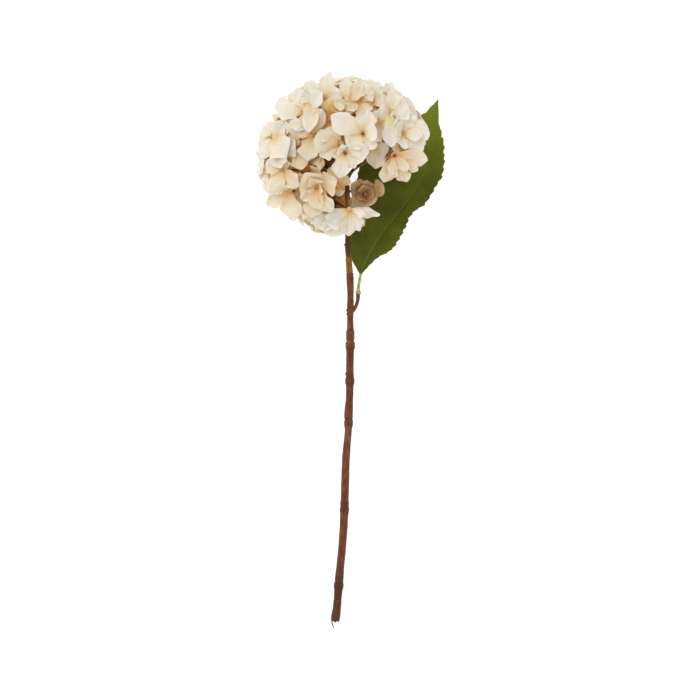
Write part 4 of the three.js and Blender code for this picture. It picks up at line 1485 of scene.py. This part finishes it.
LEAF = leaf_cloth()
print("finish:", LEAF.name)

# %% [markdown]
# The blade is one grid, laid on the leaf's surface. Its edge is toothed like a saw. A bite for each
# tooth would need a cutter, but a grid with five rows to a tooth can do it alone: the rim moves out
# slowly and falls back sharply towards the tip. The middle has a shallow groove for the midrib, and
# the edges wave a little.

# %% Shape the leaf's blade
BLADE_THICKNESS = 0.6
TEETH = 26
TEETH_FROM = 0.015
TEETH_TO = 0.965
TOOTH_DEPTH = 2.0
TOOTH_MIDDLE = 0.6
TOOTH_LEAN = 0.006
FULL_TOOTH_REACH = 8
RIM_POWER = 8
TIP_EXTENSION = 3
TIP_POWER = 30
WAVE_HEIGHT = 1.1
WAVE_FINENESS = 0.05
WAVE_POWER = 1.5
LEAF_GROOVE_DEPTH = 0.5
LEAF_GROOVE_WIDTH = 1.2


def blade_point(share, edge):
    """A point of the toothed, waved blade, and its distance to the right of the midrib."""
    side = -1 if edge < 0 else 1
    tooth = (share - TEETH_FROM) / (TEETH_TO - TEETH_FROM) * TEETH
    part = tooth % 1 if 0 < tooth < TEETH else 0.5
    reach = leaf_reach(share, side)
    rim = abs(edge) ** RIM_POWER * min(1, reach / FULL_TOOTH_REACH)
    distance = side * (reach * abs(edge) + rim * TOOTH_DEPTH * (part - TOOTH_MIDDLE))
    point = leaf_point(min(share + rim * TOOTH_LEAN * part, 1), distance)
    point += along(MIDRIB, 1)[1] * TIP_EXTENSION * share ** TIP_POWER
    wave = noise.noise(Vector((point.x, point.y, 0)) * WAVE_FINENESS)
    groove = LEAF_GROOVE_DEPTH * math.exp(-(distance / LEAF_GROOVE_WIDTH) ** 2)
    point.z += WAVE_HEIGHT * wave * abs(edge) ** WAVE_POWER - groove
    point.z = max(point.z + BLADE_THICKNESS / 2, BLADE_THICKNESS)
    return point, distance


print("the blade's tip reaches y", round(blade_point(1, 0)[0].y, 1), "mm")

# %% [markdown]
# The blade is then built as the petals are: a flat grid is placed vertex by vertex, its doubles are
# merged where it narrows, and the sheet gets its second side. A live Subdivision Surface rounds it.

# %% Build the leaf
BLADE_GRID = (26, 134)


def build_leaf():
    """The blade as a closed sheet of cloth, with the numbers that its print follows."""
    bm = bmesh.new()
    run_layer, away_layer, rim_layer = (bm.verts.layers.float.new(n) for n in ("run", "away", "rim"))
    made = bmesh.ops.create_grid(bm, x_segments=BLADE_GRID[0], y_segments=BLADE_GRID[1], size=1)["verts"]
    for vertex in made:
        edge, share = vertex.co.x, (vertex.co.y + 1) / 2
        vertex.co, vertex[away_layer] = blade_point(share, edge)
        vertex[run_layer] = share * MIDRIB[1][-1]
        vertex[rim_layer] = edge
    bmesh.ops.remove_doubles(bm, verts=made, dist=MERGE_DISTANCE)
    bm.normal_update()
    if sum((face.normal for face in bm.faces), Vector()).z < 0:
        bmesh.ops.reverse_faces(bm, faces=bm.faces)
        bm.normal_update()
    thicken(bm, bm.verts[:], BLADE_THICKNESS)
    return make_piece(bm, "leaf", [LEAF], "leaf_blade", levels=1)


print("leaf faces:", len(build_leaf().data.polygons))

# %% [markdown]
# The stem is moulded to look like young wood: reddish brown, with lengthwise streaks, and with rings
# where leaves once grew. The rings could be pieces of their own, but they are only darker lines and a
# change of thickness. A ramp along Y gives the colour at each place, so the dark and pale bands sit on
# the rings, and noise that is stretched along Y gives the streaks.

# %% Helper for bark
STREAK_SHARE = 0.6
STREAK_STRETCH = (1, 0.07, 1)
CLOUD_SHARE = 0.35
RING_SHARE = 0.7
RING_LINE = 0.8
BAND_WOBBLE = 0.002
BARK_RELIEF = 0.00025


def bark_finish(name, bands, dark, roughness, rings=()):
    """Moulded bark. Bands give the colour along Y in millimetres, and streaks and rings darken it."""
    material = start_material(name, Roughness=roughness, Specular_IOR_Level=0.2)
    tree = material.node_tree
    place = place_on_object(tree)
    y_place = node(tree, "ShaderNodeSeparateXYZ", {0: place}).outputs["Y"]
    wobbled = math_node(tree, "MULTIPLY_ADD", grain(tree, place, 220, 2), BAND_WOBBLE, y_place)
    low, high = bands[0][0], bands[-1][0]
    stops = [((y - low) / (high - low), dye) for y, dye in bands]
    base = ramp(tree, stretch(tree, wobbled, low * MM, high * MM), stops)
    base = mix(tree, times(tree, clouds(tree, place, 130), CLOUD_SHARE), base, dark)
    for y in rings:
        ring = line_at(tree, math_node(tree, "SUBTRACT", y_place, y * MM), RING_LINE * MM)
        base = mix(tree, times(tree, ring, RING_SHARE), base, dark)
    streaked = node(tree, "ShaderNodeMapping", {"Vector": place, "Scale": STREAK_STRETCH}).outputs[0]
    streaks = clouds(tree, streaked, 900, 3, 0.42, 0.62)
    to_shader(tree, "Base Color", mix(tree, times(tree, streaks, STREAK_SHARE), base, dark))
    bump(tree, streaks, BARK_RELIEF, 0.6)
    return material


print("a dark ring is", 2 * RING_LINE, "mm wide")

# %% [markdown]
# Two pieces have bark: the reddish stem, and the flower stalk, which goes from gold at its foot through
# a dark rough part to olive. The twig, the pale leaf stalk and its frayed collar are plain plastic.

# %% Make the stems' finishes
RINGS = (17.6, 6, 1, -25.2, -30.6, -62, -68, -138.6, -144.6, -206, -211, -215.4, -225.9)
REDDISH = (134, 76, 50)
STEM_BANDS = [
    (-252, (110, 68, 50)), (-214, (92, 56, 40)), (-200, (112, 66, 46)), (-184, REDDISH),
    (-150, (132, 78, 56)), (-142, (112, 64, 46)), (-136, REDDISH), (-70, (144, 94, 70)),
    (-64, (126, 74, 54)), (-58, REDDISH), (-28, (118, 70, 50)), (-20, REDDISH), (1, (120, 68, 46)),
    (5, (116, 66, 44)), (8, (152, 106, 56)), (10, (132, 80, 46)), (26, (148, 90, 50)),
    (38, (124, 72, 46)), (70, REDDISH),
]
STALK_BANDS = [
    (60, (158, 107, 29)), (83, (160, 111, 30)), (86, (104, 68, 18)), (103, (94, 62, 14)),
    (112, (114, 90, 34)), (130, (168, 138, 70)), (180, (150, 120, 62)),
]
STEM_BARK = bark_finish("stem_bark", STEM_BANDS, colour(66, 34, 20), 0.55, RINGS)
STALK_BARK = bark_finish("stalk_bark", STALK_BANDS, colour(72, 44, 18), 0.55)
TWIG_BARK = moulded("twig_bark", (92, 50, 34), (118, 68, 48), 0.5, 250)
LEAF_STALK = moulded("leaf_stalk_finish", (178, 184, 96), (204, 206, 122), 0.45, 200)
FRAYED = moulded("frayed_collar", (206, 176, 140), (226, 204, 172), 0.8, 600)
print("finishes:", STEM_BARK.name, STALK_BARK.name, TWIG_BARK.name, LEAF_STALK.name, FRAYED.name)

# %% [markdown]
# The stem's line runs from its top, at the head, down to its torn end on the table. Its bark swells at
# each ring, and a table of thickness along the line gives those steps. They are seen at the outline
# too, so they can't be left to the finish alone.

# %% Draw the stem's line and its bark
STEM_TOP = 69.3
STEM_TOP_HEIGHT = 47
STEM_END = -244.8
STEM_END_HEIGHT = 3.2
STEM_LINE = [
    (-0.2, 69.3), (0.4, 54), (0.15, 27), (0, 0), (-0.3, -22), (-0.4, -40.5), (-1.4, -58), (-1.5, -72),
    (-3, -90), (-4, -108), (-5, -144), (-5.8, -162), (-7.2, -180), (-9, -198), (-11.4, -228), (-13.4, -244.8),
]
BARK = [
    (69.3, 3.05), (63, 3.25), (45, 2.95), (36, 3.2), (27, 2.7), (18, 3.15), (17, 3.8), (9.9, 3.8),
    (8.1, 3.3), (6.3, 4.3), (1.8, 4.3), (0, 3.5), (-18, 3.45), (-21.6, 3.75), (-25.2, 3.7), (-26.1, 4.35),
    (-29.7, 4.35), (-32.4, 3.5), (-45, 3.45), (-55.8, 4), (-61.2, 4), (-63, 3.5), (-63.9, 4.1),
    (-67.5, 4.1), (-72, 3.25), (-81, 3.4), (-99, 3.7), (-135, 3.45), (-139.5, 3.95), (-141.3, 3.6),
    (-143.1, 4.2), (-145.8, 4.2), (-149.4, 3.6), (-171, 3.6), (-198, 3.6), (-207, 4), (-210.6, 4),
    (-211.5, 4.45), (-214.2, 4.45), (-217.8, 3.75), (-225, 3.5), (-225.9, 3.2), (-227.7, 3.6), (-234, 3.5),
    (-241.2, 4.05), (-244.8, 3.9),
]
STEM_WAVES = [(0.32, 0.03, 1.6, 0), (0.2, 0.12, 3.5, 9), (0.12, 0.7, 3, 4)]


def stem_height(y):
    """The height of the stem's middle line above the table."""
    return lerp(STEM_TOP_HEIGHT, STEM_END_HEIGHT, (STEM_TOP - y) / (STEM_TOP - STEM_END))


STEM_CURVE = smooth_line([(x, y, stem_height(y)) for x, y in STEM_LINE])
RISING_BARK = [(-y, radius) for y, radius in BARK]


def stem_radius(_, turn, point):
    """The bark's radius, with ribs along it and rough rings."""
    return step_between(RISING_BARK, -point.y) + relief(turn, point.y, STEM_WAVES)


print("stem:", round(STEM_CURVE[1][-1]), "mm long")

# %% [markdown]
# The stem's lower end is torn: it is jagged and hollow, thin fibres stand round it and a strip of bark
# hangs from it. A boolean with a rough block would tear it too, but it leaves faces that are hard to
# round. So noise moves the rim of the end, an inset and a move sink its middle, and thin bars with
# seeded turns make the fibres. The frayed collar of the leaf stalk uses them again.

# %% Helpers for torn ends
TEAR_HEIGHT = 1.6
TEAR_FINENESS = 0.8
TEAR_RISE = 0.2
TORN_WALL = 0.7
TORN_DEPTH = 1.4
FIBRE_RING = (0.5, 0.95)
FIBRE_LENGTH = (1.5, 3.2)
FIBRE_SPREAD = (-0.4, 0.6)
FIBRE_RADII = (0.28, 0.1)
LOWEST_FIBRE = 0.4


def tear(bm, cap, seed):
    """Makes an end jagged, as where a stem was pulled apart."""
    for vertex in cap.verts:
        jag = noise.noise(vertex.co * TEAR_FINENESS + Vector((seed, 0, 0)))
        vertex.co += cap.normal * (TEAR_HEIGHT * jag + TEAR_RISE)
    bmesh.ops.inset_region(bm, faces=[cap], thickness=TORN_WALL, use_even_offset=True)
    bmesh.ops.translate(bm, vec=-TORN_DEPTH * cap.normal, verts=cap.verts)


def add_fibres(bm, middle, way, ring, count, seed):
    """Thin torn fibres round an end."""
    chance = random.Random(seed)
    side = way.cross(UP).normalized()
    for _ in range(count):
        turn = chance.uniform(0, 2 * math.pi)
        out = side * math.cos(turn) + side.cross(way) * math.sin(turn)
        start = middle + out * ring * chance.uniform(*FIBRE_RING) - way
        end = start + way * chance.uniform(*FIBRE_LENGTH) + out * chance.uniform(*FIBRE_SPREAD)
        end.z = max(end.z, LOWEST_FIBRE)
        straight_bar(bm, start, end, *FIBRE_RADII, 5)


print("fibres are up to", FIBRE_LENGTH[1], "mm long")

# %% [markdown]
# The stem is one bar along its line. Its top is a socket for the flower stalk's pin, its end is torn,
# and five small knobs sit on it like buds. The hanging strip is a bar too, wide and thin. All of them
# are joined in one piece, because they are moulded as one.

# %% Build the stem
STEM_PIN_LENGTH = 7
GAP = 0.3
STEM_SOCKET_WALL = 1.3
KNOB_RADIUS = 1.1
KNOB_RISE = 1
KNOBS = [(2.6, 64.8), (2.6, 44.1), (-2.5, 36), (-2.4, 32.4), (-3.5, -21.6)]
STRIP_LINE = smooth_line([
    (-15.2, -236, 4.6), (-16.2, -241, 3.8), (-16.4, -245.5, 2.7), (-15.9, -249, 1.7), (-14.9, -251, 1.3),
])
STRIP_WIDTH = 1.8
STRIP_THICKNESS = 1.1


def strip_radius(share, turn, _):
    """A flat strip of bark, wide and thin, that narrows to its end."""
    wide, thin = STRIP_WIDTH / 2 * (1 - share / 2), STRIP_THICKNESS / 2
    return wide * thin / math.hypot(thin * math.cos(turn), wide * math.sin(turn))


def build_stem():
    """The stem with its socket, its torn end, its knobs and the hanging strip."""
    bark, (top, end) = bar(STEM_CURVE, stem_radius, sides=44, rows=360)
    hollow(bark, top, STEM_SOCKET_WALL, STEM_PIN_LENGTH + GAP)
    tear(bark, end, seed=5)
    strip, (_, strip_end) = bar(STRIP_LINE, strip_radius, sides=12, rows=24)
    tear(strip, strip_end, seed=2)
    small = bmesh.new()
    add_fibres(small, *along(STEM_CURVE, 1), ring=3.4, count=26, seed=3)
    for x, y in KNOBS:
        knob = Matrix.Translation((x, y, stem_height(y) + KNOB_RISE))
        bmesh.ops.create_icosphere(small, subdivisions=3, radius=KNOB_RADIUS, matrix=knob)
    return make_piece(joined([bark, strip, small]), "stem_bark", [STEM_BARK], "stem")


print("stem faces:", len(build_stem().data.polygons))

# %% [markdown]
# The side twig is thin and dark, bends up beside the stem and swells a little at its end, where a
# socket takes the leaf stalk. It is a piece of its own, because its finish differs from the stem's.

# %% Build the twig
TWIG_LINE = smooth_line([(0.2, 33, 42), (3.2, 36, 41.7), (5.9, 41, 40.8), (7.2, 46.5, 40), (7.3, 50.4, 39.4)])
TWIG_RADIUS = 1.65
TWIG_SWELLING = 0.25
TWIG_SWELLING_POWER = 6
TWIG_WAVES = [(0.12, 0.3, 2, 0)]
TWIG_END_RADIUS = TWIG_RADIUS + 0.2
TWIG_SOCKET = 1.1
TWIG_SOCKET_DEPTH = 3.3


def twig_radius(share, turn, point):
    """The twig's radius, which swells towards its end."""
    swelling = TWIG_SWELLING * share ** TWIG_SWELLING_POWER
    return TWIG_RADIUS + swelling + relief(turn, point.y, TWIG_WAVES)


def build_twig():
    """The twig with its socket."""
    bm, (_, end) = bar(TWIG_LINE, twig_radius, sides=24, rows=40)
    hollow(bm, end, TWIG_END_RADIUS - TWIG_SOCKET, TWIG_SOCKET_DEPTH)
    return make_piece(bm, "twig", [TWIG_BARK], "stem")


print("twig faces:", len(build_twig().data.polygons))

# %% [markdown]
# The flower stalk has a golden foot, then comes a rough brown part with a small knob, and the rest is
# olive. It forks inside the head, and one branch shows between the petals. Both are bars along lines,
# and the waves on them are strongest where the stalk is rough.

# %% Draw the flower stalk's lines
STALK_LINE = smooth_line([
    (-0.2, 69.3, 47), (-0.8, 77, 48), (-1.8, 94, 50.3), (-2.2, 126, 54.7), (-2.6, 150, 58.2), (-5, 166, 61),
    (-9, 178, 64),
])
STALK_RADII = [
    (0, 2.95), (0.6, 2.95), (3, 3.05), (5, 2.85), (13, 2.95), (15, 2.55), (21, 2.7), (24, 3.05), (27, 2.6),
    (33, 2.5), (45, 2.3), (60, 2.2), (78, 2.2), (92, 2.1), (111, 1.8),
]
STALK_WAVES = [(0.35, 0.35, 1.4, 0), (0.2, 0.9, 3, 5)]
ROUGH_FROM = 14
ROUGH_TO = 35
SMOOTH_SHARE = 0.3
BRANCH_LINE = smooth_line([
    (-3, 153, 58.7), (1.8, 161.1, 63), (7.2, 165.6, 69), (13.5, 169.5, 78), (18, 175, 90),
])
BRANCH_RADIUS = 1.3
BRANCH_TAPER = 0.3
BRANCH_WAVES = [(0.08, 8, 2, 0)]


def stalk_radius(share, turn, _):
    """The stalk's radius, with the strongest waves on its rough part."""
    length = share * STALK_LINE[1][-1]
    rough = 1 if ROUGH_FROM < length < ROUGH_TO else SMOOTH_SHARE
    return step_between(STALK_RADII, length) + rough * relief(turn, length, STALK_WAVES)


def branch_radius(share, turn, _):
    """The branch's radius, which narrows to its end."""
    return BRANCH_RADIUS * (1 + BRANCH_TAPER * (1 - share)) + relief(turn, share, BRANCH_WAVES)


print("flower stalk:", round(STALK_LINE[1][-1]), "mm long, with a branch of", round(BRANCH_LINE[1][-1]), "mm")

# %% [markdown]
# The stalk plugs into the top of the stem with a pin, as on the real one. Glued on flat, it would show
# a bare joint if the two were ever pulled apart. The pin starts a little way up in the stalk, so that
# no gap can open between them.

# %% Build the flower stalk
STEM_PIN_RADIUS = 1.5
PIN_ROOT = 2
STALK_KNOB = (-4.0, 95, 50.4)
STALK_KNOB_RADIUS = 1.3


def build_flower_stalk():
    """The stalk with its branch, its pin and its knob."""
    main, _ = bar(STALK_LINE, stalk_radius, sides=28, rows=150)
    branch, _ = bar(BRANCH_LINE, branch_radius, sides=18, rows=40)
    small = bmesh.new()
    foot, way = along(STEM_CURVE, 0)
    pin = (foot + way * STEM_PIN_LENGTH, foot - way * PIN_ROOT)
    straight_bar(small, *pin, STEM_PIN_RADIUS, STEM_PIN_RADIUS, 24)
    knob = Matrix.Translation(STALK_KNOB)
    bmesh.ops.create_icosphere(small, subdivisions=3, radius=STALK_KNOB_RADIUS, matrix=knob)
    whole = joined([main, branch, small])
    return make_piece(whole, "flower_stalk_bark", [STALK_BARK], "flower_stalk")


print("flower stalk faces:", len(build_flower_stalk().data.polygons))

# %% [markdown]
# The leaf stalk is pale and smooth. It plugs into the twig with a pin, bends down and runs under the
# foot of the leaf. Its line could be drawn by hand to the end, but then it might cut into the leaf. So
# its last points are measured from the leaf's own surface, a little below it.

# %% Build the leaf stalk
LEAF_STALK_RADIUS = 1.1
LEAF_STALK_TAPER = 0.45
LEAF_STALK_WAVES = [(0.06, 6, 2, 0)]
UNDER_LEAF_SHARES = (0.02, 0.05, 0.08, 0.11)
SMALL_SHARE = 0.01
UNDER_LEAF = LEAF_THICKNESS / 2 + GAP + 1.2 * LEAF_STALK_RADIUS
STALK_BEND = [(7.8, 57.5, 35), (8.4, 61.5, 31.2), (9.1, 65.6, 27.3)]
TWIG_PIN_RADIUS = TWIG_SOCKET - GAP
TWIG_END, TWIG_WAY = along(TWIG_LINE, 1)


def past_twig(distance):
    """A point past the end of the twig, on its own line."""
    return TWIG_END + distance * TWIG_WAY


def under_leaf(share):
    """A point of the stalk below the leaf's midrib."""
    way = (leaf_point(share + SMALL_SHARE, 0) - leaf_point(share, 0)).normalized()
    out_of_leaf = way.cross(UP).cross(way).normalized()
    return leaf_point(share, 0) - out_of_leaf * UNDER_LEAF


def leaf_stalk_radius(share, turn, _):
    """The stalk's radius, which narrows to its end."""
    return LEAF_STALK_RADIUS * (1 + LEAF_STALK_TAPER * (1 - share)) + relief(turn, share, LEAF_STALK_WAVES)


def build_leaf_stalk():
    """The stalk and the pin in the twig's socket."""
    line = smooth_line([
        past_twig(2 * GAP), past_twig(3), *STALK_BEND, *(under_leaf(share) for share in UNDER_LEAF_SHARES),
    ])
    main, _ = bar(line, leaf_stalk_radius, sides=20, rows=70)
    pin = bmesh.new()
    ends = (past_twig(GAP - TWIG_SOCKET_DEPTH), past_twig(PIN_ROOT))
    straight_bar(pin, *ends, TWIG_PIN_RADIUS, TWIG_PIN_RADIUS, 20)
    return make_piece(joined([main, pin]), "pale_leaf_stalk", [LEAF_STALK], "leaf_stalk")


print("leaf stalk:", build_leaf_stalk().name)

# %% [markdown]
# The cloth collar where the leaf stalk is pushed into the twig is frayed. Hair would give it loose
# threads, but only a few of them show, so a short cone and the same fibres as on the torn stem are
# enough.

# %% Build the frayed collar
COLLAR_RADIUS = 2.05
COLLAR_TOP_RADIUS = 0.8 * COLLAR_RADIUS
COLLAR_LENGTH = 1.9


def build_collar():
    """The collar's cone with its ring of fibres."""
    collar = bmesh.new()
    straight_bar(collar, past_twig(GAP), past_twig(COLLAR_LENGTH), COLLAR_RADIUS, COLLAR_TOP_RADIUS, 16)
    add_fibres(collar, past_twig(1.6), TWIG_WAY, ring=2.6, count=30, seed=11)
    return make_piece(collar, "frayed_collar", [FRAYED], "leaf_stalk")


print("collar:", build_collar().name)
